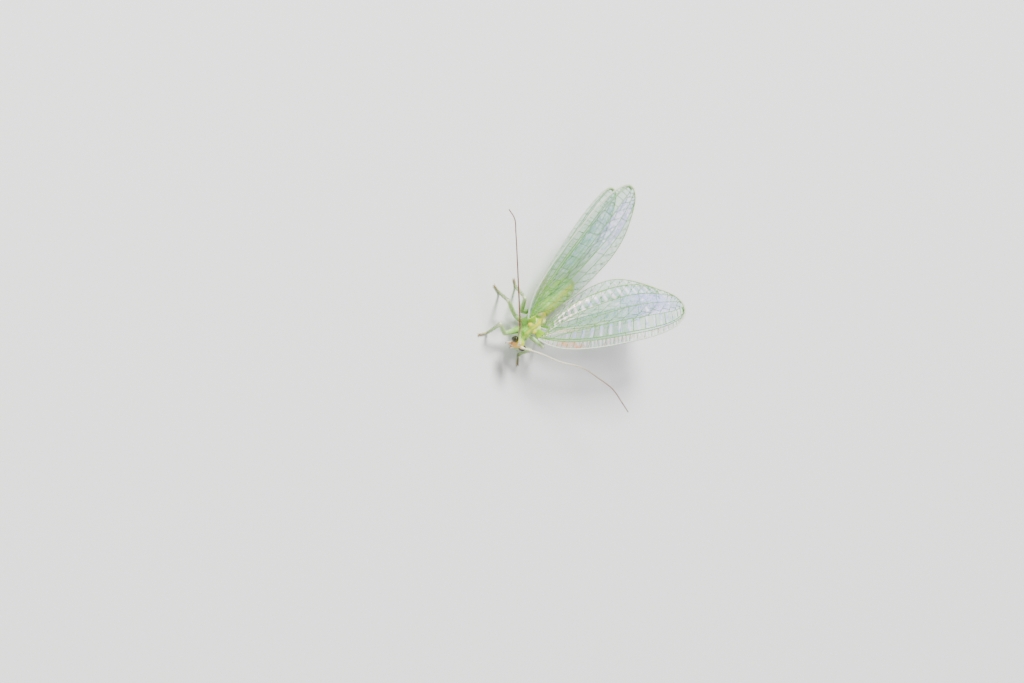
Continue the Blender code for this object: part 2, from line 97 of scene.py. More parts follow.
SHEEN_GOLD = (0.82, 0.30, 0.03)
STIGMA_GREEN = (0.52, 0.66, 0.36)

# Body: (y, centre x, centre z, half width, half height) of each ring from the neck to the waist
BODY_RINGS = [
    (-1.66, 0.25, 2.02, 0.20, 0.20), (-1.50, 0.21, 2.03, 0.27, 0.25), (-1.34, 0.18, 2.03, 0.36, 0.32),
    (-1.20, 0.17, 2.03, 0.44, 0.37), (-1.02, 0.13, 2.02, 0.46, 0.39), (-0.86, 0.10, 2.00, 0.43, 0.40),
    (-0.74, 0.06, 1.97, 0.42, 0.44), (-0.60, 0.03, 1.94, 0.51, 0.56), (-0.36, 0.00, 1.91, 0.61, 0.67),
    (-0.05, 0.00, 1.90, 0.64, 0.70), (0.28, 0.00, 1.89, 0.62, 0.69), (0.50, 0.00, 1.86, 0.56, 0.63),
    (0.62, 0.00, 1.82, 0.52, 0.59), (0.82, 0.00, 1.76, 0.55, 0.60), (1.08, 0.00, 1.72, 0.56, 0.60),
    (1.34, 0.00, 1.69, 0.52, 0.54), (1.56, 0.00, 1.67, 0.42, 0.44), (1.76, 0.00, 1.66, 0.38, 0.40),
]
BODY_SQUARENESS = 2.3
ROOT_RIBS = 9                 # overlapping ribs that make up the base of a wing
ABDOMEN_LINE = [(0.0, 1.60, 1.67), (0.0, 1.74, 1.66), (0.06, 2.8, 1.38), (0.18, 3.95, 0.98),
                (0.36, 5.0, 0.79), (0.46, 5.6, 0.79)]
ABDOMEN_HALF_WIDTHS = [0.36, 0.48, 0.55, 0.66, 0.76, 0.82, 0.80, 0.66, 0.48]
ABDOMEN_SEGMENTS = 8
SEGMENT_BULGE = 0.06
TAIL_KNOB = [(0.05, 0.40), (0.10, 0.31), (0.20, 0.27), (0.28, 0.21), (0.34, 0.10)]

# Raised lobes on the back of the thorax: centre, half sizes and colour; the cream ones are painted highlights
# where light catches the lobes
THORAX_LOBES = [
    ((-0.30, -0.34, 2.42), (0.25, 0.30, 0.16), "yellow"), ((0.30, -0.34, 2.42), (0.25, 0.30, 0.16), "yellow"),
    ((0.0, -0.40, 2.44), (0.17, 0.22, 0.15), "green"),
    ((-0.34, 0.05, 2.44), (0.24, 0.28, 0.15), "cream"), ((0.34, 0.05, 2.44), (0.24, 0.28, 0.15), "cream"),
    ((0.0, 0.34, 2.44), (0.24, 0.17, 0.14), "yellow"),
    ((-0.30, 0.92, 2.22), (0.23, 0.24, 0.13), "cream"), ((0.30, 0.92, 2.22), (0.23, 0.24, 0.13), "cream"),
    ((0.0, 1.18, 2.20), (0.20, 0.15, 0.11), "yellow"),
    ((0.0, -1.10, 2.34), (0.30, 0.24, 0.12), "green"),
]

# Head, turned a little to the insect's left
HEAD_CENTRE = Vector((0.33, -1.92, 2.08))
HEAD_YAW = math.radians(12)
# Head: (height, forward shift, half width, half depth) of each level from the crown to the mouth
HEAD_LEVELS = [
    (0.50, -0.04, 0.10, 0.10), (0.46, -0.04, 0.24, 0.22), (0.34, -0.02, 0.36, 0.31), (0.12, 0.00, 0.42, 0.35),
    (-0.12, 0.03, 0.41, 0.34), (-0.32, 0.08, 0.33, 0.27), (-0.48, 0.12, 0.24, 0.19),
    (-0.60, 0.14, 0.16, 0.12), (-0.66, 0.15, 0.07, 0.05),
]
EYE_SIDE = 0.52
EYE_HEIGHT = 0.10
EYE_FORWARD = 0.06
EYE_HALF = Vector((0.26, 0.28, 0.31))
EYE_INSET = 0.01
FACET_DEPTH = 0.014
SCAPE_FOOT = (0.15, 0.24, 0.32)
MAXILLARY_PALP = [(0.20, 0.12, -0.42), (0.27, 0.20, -0.56), (0.31, 0.26, -0.70), (0.31, 0.31, -0.84),
                  (0.26, 0.38, -0.98)]
OUTER_PALP_RADIUS = 0.052
INNER_PALP_RADIUS = 0.045
LABIAL_PALP = [(0.07, 0.04, -0.58), (0.12, 0.06, -0.70), (0.14, 0.10, -0.82), (0.12, 0.14, -0.92)]
MANDIBLE = [(0.16, 0.20, -0.44), (0.18, 0.28, -0.58), (0.12, 0.32, -0.68), (0.03, 0.32, -0.72)]

# Antennae: the bends of each thread from the head on
RIGHT_FEELER = [(-1.78, -1.25, 2.86), (-3.80, -0.48, 3.18), (-5.76, 0.26, 3.5), (-7.94, 0.91, 4.0),
                (-9.05, 1.20, 4.25), (-10.1, 1.02, 4.4)]
LEFT_FEELER = [(1.95, -1.02, 2.92), (3.44, 0.04, 3.14), (4.84, 1.28, 3.6), (6.22, 1.93, 3.95),
               (7.68, 2.52, 4.2), (9.12, 2.73, 4.25), (10.15, 2.9, 4.2)]
FEELER_JOINTS = 84
FEELER_RADII = [0.062, 0.058, 0.052, 0.046, 0.040, 0.032]
SCAPE_RADII = [0.09, 0.125, 0.13, 0.115, 0.085]
PEDICEL_RADIUS = 0.088

# Legs: end of the boss on the thorax, trochanter, knee, ankle and toe
LEGS = {
    "leg_fore_right": [(-0.25, -1.12, 1.56), (-0.48, -2.02, 1.10), (-1.86, -2.47, 1.92),
                       (-0.96, -2.68, 0.12), (-1.32, -3.41, 0.08)],
    "leg_mid_right": [(-0.45, -0.18, 1.18), (-0.90, -0.32, 0.92), (-2.96, -1.01, 2.05),
                      (-2.78, -0.11, 0.12), (-3.56, -0.22, 0.08)],
    "leg_hind_right": [(-0.40, 0.95, 1.12), (-0.72, 0.48, 0.80), (-2.28, 0.28, 2.34),
                       (-2.22, 1.45, 0.12), (-2.78, 1.63, 0.08)],
    "leg_fore_left": [(0.55, -1.12, 1.56), (0.98, -1.72, 1.05), (1.62, -1.08, 2.05),
                      (2.27, -0.99, 0.12), (2.92, -1.48, 0.08)],
    "leg_mid_left": [(0.45, -0.18, 1.18), (0.90, -0.05, 0.90), (2.25, 0.05, 1.95),
                     (2.45, 1.10, 0.12), (3.05, 1.55, 0.08)],
    "leg_hind_left": [(0.40, 1.02, 1.12), (0.78, 1.25, 0.80), (2.05, 1.85, 1.30),
                      (2.35, 3.30, 0.12), (2.80, 3.95, 0.08)],
}
COXA_RADII = [0.27, 0.25, 0.20, 0.15]
FEMUR_RADII = [0.12, 0.155, 0.17, 0.165, 0.15, 0.13, 0.12]
TIBIA_RADII = [0.115, 0.10, 0.105, 0.105, 0.10, 0.09]
TARSUS_JOINTS = 5
TARSUS_RADIUS = 0.07
KNEE_INSET = 0.10

# Wings: the same plan as the solids
FOREWING_FRONT = [(0.0, 0.0), (0.9, -0.66), (2.3, -1.16), (4.6, -1.44), (7.2, -1.46),
                  (9.6, -1.35), (11.4, -1.00), (12.35, -0.46), (12.78, 0.10)]
FOREWING_HIND = [(0.8, 0.4), (2.1, 1.40), (3.6, 2.12), (5.6, 2.58), (7.8, 2.84),
                 (9.6, 2.64), (11.2, 1.98), (12.3, 1.28), (12.78, 0.62)]
HINDWING_FRONT = [(0.0, 0.0), (0.8, -0.42), (2.0, -0.78), (3.9, -1.04), (6.2, -1.12),
                  (8.2, -1.06), (9.8, -0.80), (10.65, -0.38), (11.0, 0.10)]
HINDWING_HIND = [(0.6, 0.3), (1.8, 0.92), (3.2, 1.56), (5.0, 2.10), (6.8, 2.32),
                 (8.3, 2.06), (9.7, 1.50), (10.6, 1.00), (11.0, 0.56)]
TIP_DROOP = 0.30
EDGE_STEPS = 12
# Long veins as (share along, share across) points, with the radius at the root and at the tip
FORE_LONG = {
    "subcosta": ([(0.005, 0.20), (0.10, 0.195), (0.3, 0.15), (0.6, 0.115), (0.82, 0.10), (0.90, 0.03)],
                 (0.045, 0.022)),
    "radius": ([(0.005, 0.26), (0.10, 0.25), (0.3, 0.20), (0.6, 0.16), (0.85, 0.15), (0.93, 0.13),
                (0.975, 0.0)], (0.050, 0.022)),
    "sector": ([(0.12, 0.245), (0.18, 0.33), (0.35, 0.385), (0.6, 0.39), (0.8, 0.42), (0.92, 0.49),
                (1.0, 0.55)], (0.034, 0.018)),
    "median": ([(0.01, 0.40), (0.12, 0.47), (0.32, 0.56), (0.6, 0.62), (0.78, 0.69), (0.90, 0.80),
                (0.965, 1.0)], (0.036, 0.018)),
    "cubitus": ([(0.01, 0.46), (0.10, 0.60), (0.28, 0.74), (0.5, 0.80), (0.68, 0.85), (0.80, 0.92),
                 (0.87, 1.0)], (0.036, 0.018)),
    "anal_one": ([(0.01, 0.60), (0.08, 0.76), (0.17, 0.88), (0.25, 1.0)], (0.030, 0.018)),
    "anal_two": ([(0.01, 0.78), (0.06, 0.90), (0.115, 1.0)], (0.026, 0.018)),
}
HIND_LONG = {
    "subcosta": ([(0.005, 0.16), (0.10, 0.13), (0.3, 0.10), (0.6, 0.085), (0.82, 0.08), (0.88, 0.02)],
                 (0.040, 0.020)),
    "radius": ([(0.005, 0.24), (0.10, 0.20), (0.3, 0.155), (0.6, 0.135), (0.85, 0.14), (0.93, 0.12),
                (0.97, 0.0)], (0.044, 0.020)),
    "sector": ([(0.10, 0.20), (0.16, 0.30), (0.35, 0.35), (0.6, 0.37), (0.8, 0.41), (0.92, 0.49),
                (1.0, 0.55)], (0.030, 0.016)),
    "median": ([(0.01, 0.40), (0.12, 0.48), (0.32, 0.56), (0.6, 0.62), (0.78, 0.69), (0.90, 0.80),
                (0.965, 1.0)], (0.032, 0.016)),
    "cubitus": ([(0.01, 0.50), (0.10, 0.66), (0.28, 0.79), (0.5, 0.83), (0.68, 0.87), (0.80, 0.93),
                 (0.87, 1.0)], (0.032, 0.016)),
    "anal_one": ([(0.01, 0.70), (0.08, 0.84), (0.15, 0.93), (0.21, 1.0)], (0.026, 0.016)),
}
WING_PLANS = {
    "fore": dict(front=FOREWING_FRONT, hind=FOREWING_HIND, arch=0.22, veins=FORE_LONG, costal=26, radial=14,
                 branches=11, cubital=13, middle=7, margin=(0.060, 0.034)),
    "hind": dict(front=HINDWING_FRONT, hind=HINDWING_HIND, arch=0.12, veins=HIND_LONG, costal=20, radial=12,
                 branches=10, cubital=11, middle=6, margin=(0.050, 0.030)),
}
FORE_ROOT = (0.93, -0.55, 2.62)
HIND_ROOT = (0.90, 0.74, 1.70)
# Angles in degrees; shine sets how strongly the painted reflections, pearly bars where light catches the
# cells, show on each wing; grain picks a wing's own noise
WINGS = {
    "forewing_left": dict(kind="fore", side=1, root=FORE_ROOT, sweep=25.2, raised=14.5, roll=20,
                          painted_shine=1.0, grain=4),
    "forewing_right": dict(kind="fore", side=-1, root=FORE_ROOT, sweep=19.5, raised=13.8, roll=5,
                           painted_shine=0.3, grain=2),
    "hindwing_left": dict(kind="hind", side=1, root=HIND_ROOT, sweep=24.0, raised=10.2, roll=12,
                          painted_shine=0.8, grain=3),
    "hindwing_right": dict(kind="hind", side=-1, root=HIND_ROOT, sweep=22.8, raised=13.0, roll=9,
                           painted_shine=0.3, grain=1),
}
GRAIN_STEP = 3.7
MEMBRANE_COLUMNS = 260
MEMBRANE_ROWS = 64
MEMBRANE_HALF = 0.006
VEIN_SIDES = 6
CROSS_RADIUS = 0.019
MARGIN_STEPS = 90
TIP_STEPS = 8
# Rows of cross veins: the first place, the reach of the row and the slant, in shares of the wing's length
COSTAL_ROW = (0.035, 0.86)
COSTAL_SLANT = 0.004
RADIAL_ROW = (0.19, 0.75)
RADIAL_SLANT = 0.006
MIDDLE_ROW = (0.07, 0.62)
MIDDLE_SLANT = 0.012
CUBITAL_ROW = (0.17, 0.63)
CUBITAL_SLANT = 0.045
BRANCH_ROW = (0.22, 0.66)
BRANCH_REACH = 0.10
SUBCOSTAL_TIES = (0.06, 0.5, 0.78, 0.88)
ROOT_TIES = (0.06, 0.10)
FORK_SPREAD = 0.013
# A stepped cross vein leaves one branch at this share of it, and meets the next one farther back
STEP_PLACE = 0.42
STEP_BACK = 0.22
PLEAT_HEIGHT = 0.045
PLEATS = 3.5
LEAST_COVER = 0.04
MOST_COVER = 0.9
RADIAL_BARS = 24              # painted pearly reflections in bars behind the front edge, over the wing's length

# Hairs of each region: count, length, radius, colour and how far they lean along the limb
THORAX_HAIRS = (1500, 0.17, 0.0055, HAIR_PALE, 0.6)
ABDOMEN_HAIRS = (3000, 0.15, 0.0055, HAIR_PALE, 0.8)
HEAD_HAIRS = (380, 0.07, 0.004, HAIR_PALE, 0.8)
FEMUR_HAIRS = (330, 0.10, 0.0045, HAIR_PALE, 0.8)
TIBIA_HAIRS = (420, 0.11, 0.0045, HAIR_DARK, 0.7)
TARSUS_HAIRS = (260, 0.07, 0.004, HAIR_DARK, 0.7)

# How far a root is sunk, and the size of a hair's patch on the coat's map
ROOT_SINK = 0.012
HAIR_PATCH = 0.003
CHART_GRID = 6
FRINGE_COUNT = 620
VEIN_HAIR_COUNT = 70
VEIN_HAIR_LIFT = 0.02
CHART_MARGIN = 0.03
SURFACE_REACH = 0.09

VOXEL = 0.028
SMOOTHING = 5


class Shape:
    """Points, faces and a colour for each point, gathered before they become one mesh."""

    def __init__(self):
        self.points = []
        self.faces = []
        self.colours = []

    def add_rings(self, rings, colours):
        """A closed tube through rings of equal count, with one colour or one list of them for each ring."""
        start = len(self.points)
        count = len(rings[0])
        for ring, colour in zip(rings, colours):
            self.points += ring
            self.colours += colour if isinstance(colour, list) else [colour] * count
        for row in range(len(rings) - 1):
            for column in range(count):
                after = (column + 1) % count
                low = start + row * count
                self.faces.append((low + column, low + after, low + count + after, low + count + column))
        last = start + (len(rings) - 1) * count
        self.faces.append(tuple(start + column for column in reversed(range(count))))
        self.faces.append(tuple(last + column for column in range(count)))


class Coat(Shape):
    """Fine tapered hairs in one mesh, each with its own small patch on the map of the coat."""

    def __init__(self):
        super().__init__()
        self.spots = []

    def add_hair(self, root, rise, lie, length, radius, colour, spot):
        """A hair that leaves its root along one direction and bends over to another."""
        rise = rise.normalized()
        lie = lie.normalized()
        side = rise.cross(lie)
        side = side.normalized() if side.length > 0.01 else rise.orthogonal().normalized()
        front = rise.cross(side)
        foot = root - rise * ROOT_SINK
        middle = root + (rise * 0.55 + lie * 0.25) * length * 0.6
        tip = root + (rise * 0.5 + lie * 0.7) * length
        start = len(self.points)
        for centre, width in ((foot, radius), (middle, radius * 0.7)):
            for step in range(3):
                angle = 2 * math.pi * step / 3
                self.points.append(centre + (side * math.cos(angle) + front * math.sin(angle)) * width)
        self.points.append(tip)
        self.faces.append((start, start + 1, start + 2))
        for step in range(3):
            after = (step + 1) % 3
            self.faces.append((start + step, start + after, start + 3 + after, start + 3 + step))
            self.faces.append((start + 3 + step, start + 3 + after, start + 6))
        self.colours += [colour] * 7
        for height, count in ((0.0, 3), (0.5, 3), (1.0, 1)):
            for step in range(count):
                self.spots.append((spot[0] + HAIR_PATCH * step / 2, spot[1] + HAIR_PATCH * height))

    def mesh(self, name):
        mesh = make_mesh(name, self)
        paint_mesh(mesh, self.colours)
        layer = mesh.uv_layers.new(name="OFBake")
        flat = []
        for loop in mesh.loops:
            flat += self.spots[loop.vertex_index]
        layer.data.foreach_set("uv", flat)
        return mesh


def chart_spot(chart, along, around):
    """A place in one square of the coat's map, where each limb or body part has a square of its own."""
    column = chart % CHART_GRID
    row = chart // CHART_GRID
    inside = 1 - 2 * CHART_MARGIN
    return ((column + CHART_MARGIN + inside * along) / CHART_GRID,
            (row + CHART_MARGIN + inside * around) / CHART_GRID)


def blend_colours(first, second, share):
    share = min(max(share, 0.0), 1.0)
    return tuple(a + (b - a) * share for a, b in zip(first, second))


def smooth_step(low, high, value):
    share = min(max((value - low) / (high - low), 0.0), 1.0)
    return share * share * (3 - 2 * share)


def bump(middle, reach, value):
    """One at the middle, fading to nothing at the reach to each side."""
    return smooth_step(reach, 0.0, abs(value - middle))


def smooth_line(points, steps):
    """A Catmull-Rom curve through the points, with the given steps in each span."""
    points = [Vector(point) for point in points]
    padded = [2 * points[0] - points[1]] + points + [2 * points[-1] - points[-2]]
    line = []
    for index in range(1, len(padded) - 2):
        before, start, end, after = padded[index - 1:index + 3]
        for step in range(steps):
            t = step / steps
            line.append(0.5 * (2 * start + (end - before) * t
                               + (2 * before - 5 * start + 4 * end - after) * t * t
                               + (3 * start - before - 3 * end + after) * t ** 3))
    line.append(points[-1])
    return line


def read_list(values, share):
    """The value at a share from 0 to 1 of a list, read on straight lines between its entries."""
    place = min(max(share, 0.0), 1.0) * (len(values) - 1)
    index = min(int(place), len(values) - 2)
    rest = place - index
    return values[index] * (1 - rest) + values[index + 1] * rest


def frames_along(line):
    """The direction, a side and an up direction at each point of a line, carried without twist."""
    spans = [(after - before).normalized() for before, after in zip(line, line[1:])]
    side = spans[0].cross(UP)
    side = side.normalized() if side.length > 0.01 else Vector((1.0, 0.0, 0.0))
    frames = []
    for arriving, leaving in zip(spans[:1] + spans, spans + spans[-1:]):
        ahead = (arriving + leaving).normalized()
        side = (side - ahead * side.dot(ahead)).normalized()
        frames.append((ahead, side, side.cross(ahead)))
    return frames


def tube(shape, line, radii, sides, colours):
    """A closed tube along a line, with a colour for each of its points."""
    rings = []
    for point, radius, (_, side, up) in zip(line, radii, frames_along(line)):
        ring = []
        for step in range(sides):
            angle = 2 * math.pi * step / sides
            ring.append(point + side * radius * math.cos(angle) + up * radius * math.sin(angle))
        rings.append(ring)
    shape.add_rings(rings, colours)


def tapered(shape, start, end, radii, sides, colour_at, steps=None):
    """A straight tube between two points whose radius follows a list."""
    steps = steps or max(2, (len(radii) - 1) * 4)
    shares = [step / steps for step in range(steps + 1)]
    line = [start.lerp(end, share) for share in shares]
    widths = [read_list(radii, share) for share in shares]
    tube(shape, line, widths, sides, [colour_at(share) for share in shares])


def ball(shape, centre, half, axes, colour_at, rows=20, sides=28):
    """An ellipsoid whose half sizes lie along three directions, coloured by the direction from its centre."""
    left, forward, up = axes
    rings = []
    colours = []
    for row in range(1, rows):
        lean = math.pi * row / rows
        ring = []
        ring_colours = []
        for step in range(sides):
            angle = 2 * math.pi * step / sides
            wide = math.sin(lean)
            spot = Vector((wide * math.cos(angle), wide * math.sin(angle), math.cos(lean)))
            ring.append(centre + left * half[0] * spot.x + forward * half[1] * spot.y + up * half[2] * spot.z)
            ring_colours.append(colour_at(spot))
        rings.append(ring)
        colours.append(ring_colours)
    shape.add_rings(rings, colours)


def make_mesh(name, shape):
    mesh = bpy.data.meshes.new(name)
    mesh.from_pydata([tuple(point) for point in shape.points], [], shape.faces)
    work = bmesh.new()
    work.from_mesh(mesh)
    bmesh.ops.recalc_face_normals(work, faces=work.faces)
    work.to_mesh(mesh)
    work.free()
    return mesh


def paint_mesh(mesh, colours):
    layer = mesh.color_attributes.new("Paint", "FLOAT_COLOR", "POINT")
    flat = []
    for colour in colours:
        flat += [*colour, 1.0][:4]
    layer.data.foreach_set("color", flat)


def finish_piece(name, mesh, material, slot, *nodes):
    """Put a mesh into the scene in metres, riding on the one body and standing for its nodes."""
    mesh.name = name
    mesh.transform(INTO_METRES)
    mesh.shade_smooth()
    mesh.materials.clear()
    mesh.materials.append(material)
    item = bpy.data.objects.new(name, mesh)
    bpy.context.scene.collection.objects.link(item)
    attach(item, "root")
    if nodes:
        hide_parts(*nodes)
    return item


def head_axes():
    left = Vector((math.cos(HEAD_YAW), math.sin(HEAD_YAW), 0.0))
    forward = Vector((math.sin(HEAD_YAW), -math.cos(HEAD_YAW), 0.0))
    return left, forward, UP.copy()


def head_point(side, forward_shift, height):
    left, forward, up = head_axes()
    return HEAD_CENTRE + left * side + forward * forward_shift + up * height


def wing_axes(wing):
    """Directions along the wing, across it to its hind edge, and out of its upper face, for the left side."""
    sweep = math.radians(wing["sweep"])
    raised = math.radians(wing["raised"])
    roll = math.radians(wing["roll"])
    along = Vector((math.sin(sweep) * math.cos(raised), math.cos(sweep) * math.cos(raised), math.sin(raised)))
    level = Vector((-math.cos(sweep), math.sin(sweep), 0.0))
    upward = along.cross(level)
    across = level * math.cos(roll) - upward * math.sin(roll)
    return along, across, along.cross(across)


class WingSheet:
    """The curved middle surface of one wing, read by the share along it and the share across it."""

    def __init__(self, wing):
        self.wing = wing
        self.plan = WING_PLANS[wing["kind"]]
        self.front = smooth_line([(*spot, 0) for spot in self.plan["front"]], EDGE_STEPS)
        self.hind = smooth_line([(*spot, 0) for spot in self.plan["hind"]], EDGE_STEPS)
        self.along, self.across, self.normal = wing_axes(wing)
        self.root = Vector(wing["root"])
        self.seed = GRAIN_STEP * wing["grain"]
        self.lines = {name: smooth_line([(*spot, 0) for spot in points], 8)
                      for name, (points, _) in self.plan["veins"].items()}

    def point(self, share, across_share, lift=0.0):
        flat = read_list(self.front, share).lerp(read_list(self.hind, share), across_share)
        arch = self.plan["arch"] * math.sin(math.pi * across_share) * math.sin(math.pi * share)
        pleat = PLEAT_HEIGHT * math.sin(2 * math.pi * PLEATS * across_share)
        pleat *= math.sin(math.pi * share) ** 0.5
        pleat *= math.sin(math.pi * across_share) ** 0.5
        height = arch + pleat - TIP_DROOP * share ** 2 + lift
        spot = self.root + self.along * flat.x + self.across * flat.y + self.normal * height
        spot.x *= self.wing["side"]
        return spot

    def vein_at(self, name, share):
        """Share across the wing where a long vein runs."""
        line = self.lines[name]
        for start, end in zip(line, line[1:]):
            if start.x <= share <= end.x:
                return start.y + (end.y - start.y) * (share - start.x) / max(end.x - start.x, 1e-6)
        return line[0].y if share < line[0].x else line[-1].y


def spread(row, count):
    """Places at equal steps along a row."""
    first, reach = row
    return [first + reach * index / (count - 1) for index in range(count)]


def straight(start, end, steps=4):
    return [(start[0] + (end[0] - start[0]) * step / steps, start[1] + (end[1] - start[1]) * step / steps)
            for step in range(steps + 1)]


def cross(start, end):
    return straight(start, end), (CROSS_RADIUS, CROSS_RADIUS)


def tie(sheet, first, second, share, slant=0.0):
    """A cross vein from one long vein to another."""
    return cross((share, sheet.vein_at(first, share)), (share + slant, sheet.vein_at(second, share + slant)))


def forked(start, end, place):
    """A short vein that splits into two before it meets the margin."""
    middle = (start[0] + (end[0] - start[0]) * place, start[1] + (end[1] - start[1]) * place)
    radii = (CROSS_RADIUS, CROSS_RADIUS * 0.8)
    return [(straight(start, middle), radii),
            (straight(middle, (min(end[0] - FORK_SPREAD, 1.0), end[1])), radii),
            (straight(middle, (min(end[0] + FORK_SPREAD, 1.0), end[1])), radii)]


def vein_tubes(sheet):
    """Every vein of one wing as (points along and across, radii), from the margin to the cross veins."""
    plan = sheet.plan
    thick, thin = plan["margin"]
    made = [([(step / MARGIN_STEPS, 0.0) for step in range(MARGIN_STEPS + 1)], (thick, thin)),
            ([(1.0, step / TIP_STEPS) for step in range(TIP_STEPS + 1)], (thin, thin * 0.8)),
            ([(1 - step / MARGIN_STEPS, 1.0) for step in range(MARGIN_STEPS + 1)], (thin * 0.8, thin * 0.7))]
    for name, (_, radii) in plan["veins"].items():
        made.append(([(spot.x, spot.y) for spot in sheet.lines[name]], radii))
    for share in spread(COSTAL_ROW, plan["costal"]):
        foot = sheet.vein_at("subcosta", share)
        made.append(cross((share - COSTAL_SLANT, 0.0), (share + COSTAL_SLANT, foot)))
    for share in spread(RADIAL_ROW, plan["radial"]):
        made.append(tie(sheet, "radius", "sector", share, RADIAL_SLANT))
    for share in SUBCOSTAL_TIES:
        made.append(tie(sheet, "subcosta", "radius", share))
    made += branch_veins(sheet)
    for share in spread(MIDDLE_ROW, plan["middle"]):
        made.append(tie(sheet, "median", "cubitus", share, MIDDLE_SLANT))
    for share in spread(CUBITAL_ROW, plan["cubital"]):
        made += forked((share, sheet.vein_at("cubitus", share)), (share + CUBITAL_SLANT, 1.0), 0.45)
    for share in ROOT_TIES:
        made.append(tie(sheet, "radius", "median", share, 0.01))
    made.append(tie(sheet, "cubitus", "anal_one", 0.05, 0.005))
    for index in range(4):
        share = 0.90 + 0.014 * index
        made.append(cross((share, sheet.vein_at("radius", share)), (share + 0.014, 0.0)))
    return made


def branch_veins(sheet):
    """Slanting branches from the sector to the median and on to the margin, tied by a stepped row."""
    made = []
    count = sheet.plan["branches"]
    radii = (CROSS_RADIUS * 1.1, CROSS_RADIUS * 0.9)
    lines = []
    for index, share in enumerate(spread(BRANCH_ROW, count)):
        end = min(share + BRANCH_REACH * (1 - 0.35 * index / count), 0.97)
        lines.append((Vector((share, sheet.vein_at("sector", share))),
                      Vector((end, sheet.vein_at("median", end)))))
        made.append((straight(*lines[-1]), radii))
    for (first, first_end), (second, second_end) in zip(lines, lines[1:]):
        start = first.lerp(first_end, STEP_PLACE)
        stop = second.lerp(second_end, STEP_PLACE - STEP_BACK)
        made.append((straight(start, stop), radii))
    for index in range(6):
        share = 0.76 + 0.034 * index
        made += forked((share, sheet.vein_at("median", share)), (min(share + 0.05, 0.985), 1.0), 0.5)
    for index in range(3):
        share = 0.945 + 0.012 * index
        made.append((straight((share, sheet.vein_at("sector", share)), (share + 0.02, 0.0)), radii))
    return made


def build_veins(name, sheet):
    shape = Shape()
    for line, (first, last) in vein_tubes(sheet):
        points = [sheet.point(share, across) for share, across in line]
        radii = [first + (last - first) * index / (len(points) - 1) for index in range(len(points))]
        tube(shape, points, radii, VEIN_SIDES, [vein_colour(first, share, across) for share, across in line])
    mesh = make_mesh(name, shape)
    paint_mesh(mesh, shape.colours)
    return mesh


def vein_colour(radius, share, across):
    """Long veins are green and paler to the tip, cross veins dark green, and the front margin is pale."""
    if across == 0.0:
        return blend_colours(MARGIN_PALE, VEIN_GREEN, 0.4 * smooth_step(0.75, 1.0, share))
    if radius <= CROSS_RADIUS * 1.2:
        return blend_colours(VEIN_DARK, VEIN_GREEN, 0.35 + 0.35 * smooth_step(0.4, 0.0, share))
    return blend_colours(VEIN_GREEN, LEAF_GREEN, 0.5 * smooth_step(0.25, 0.0, share))


def pulse(count, value, width):
    """A row of soft bars, with the given count from 0 to 1 and the share of each step that a bar fills."""
    place = value * count % 1.0
    return smooth_step(width, width * 0.45, abs(place - 0.5))


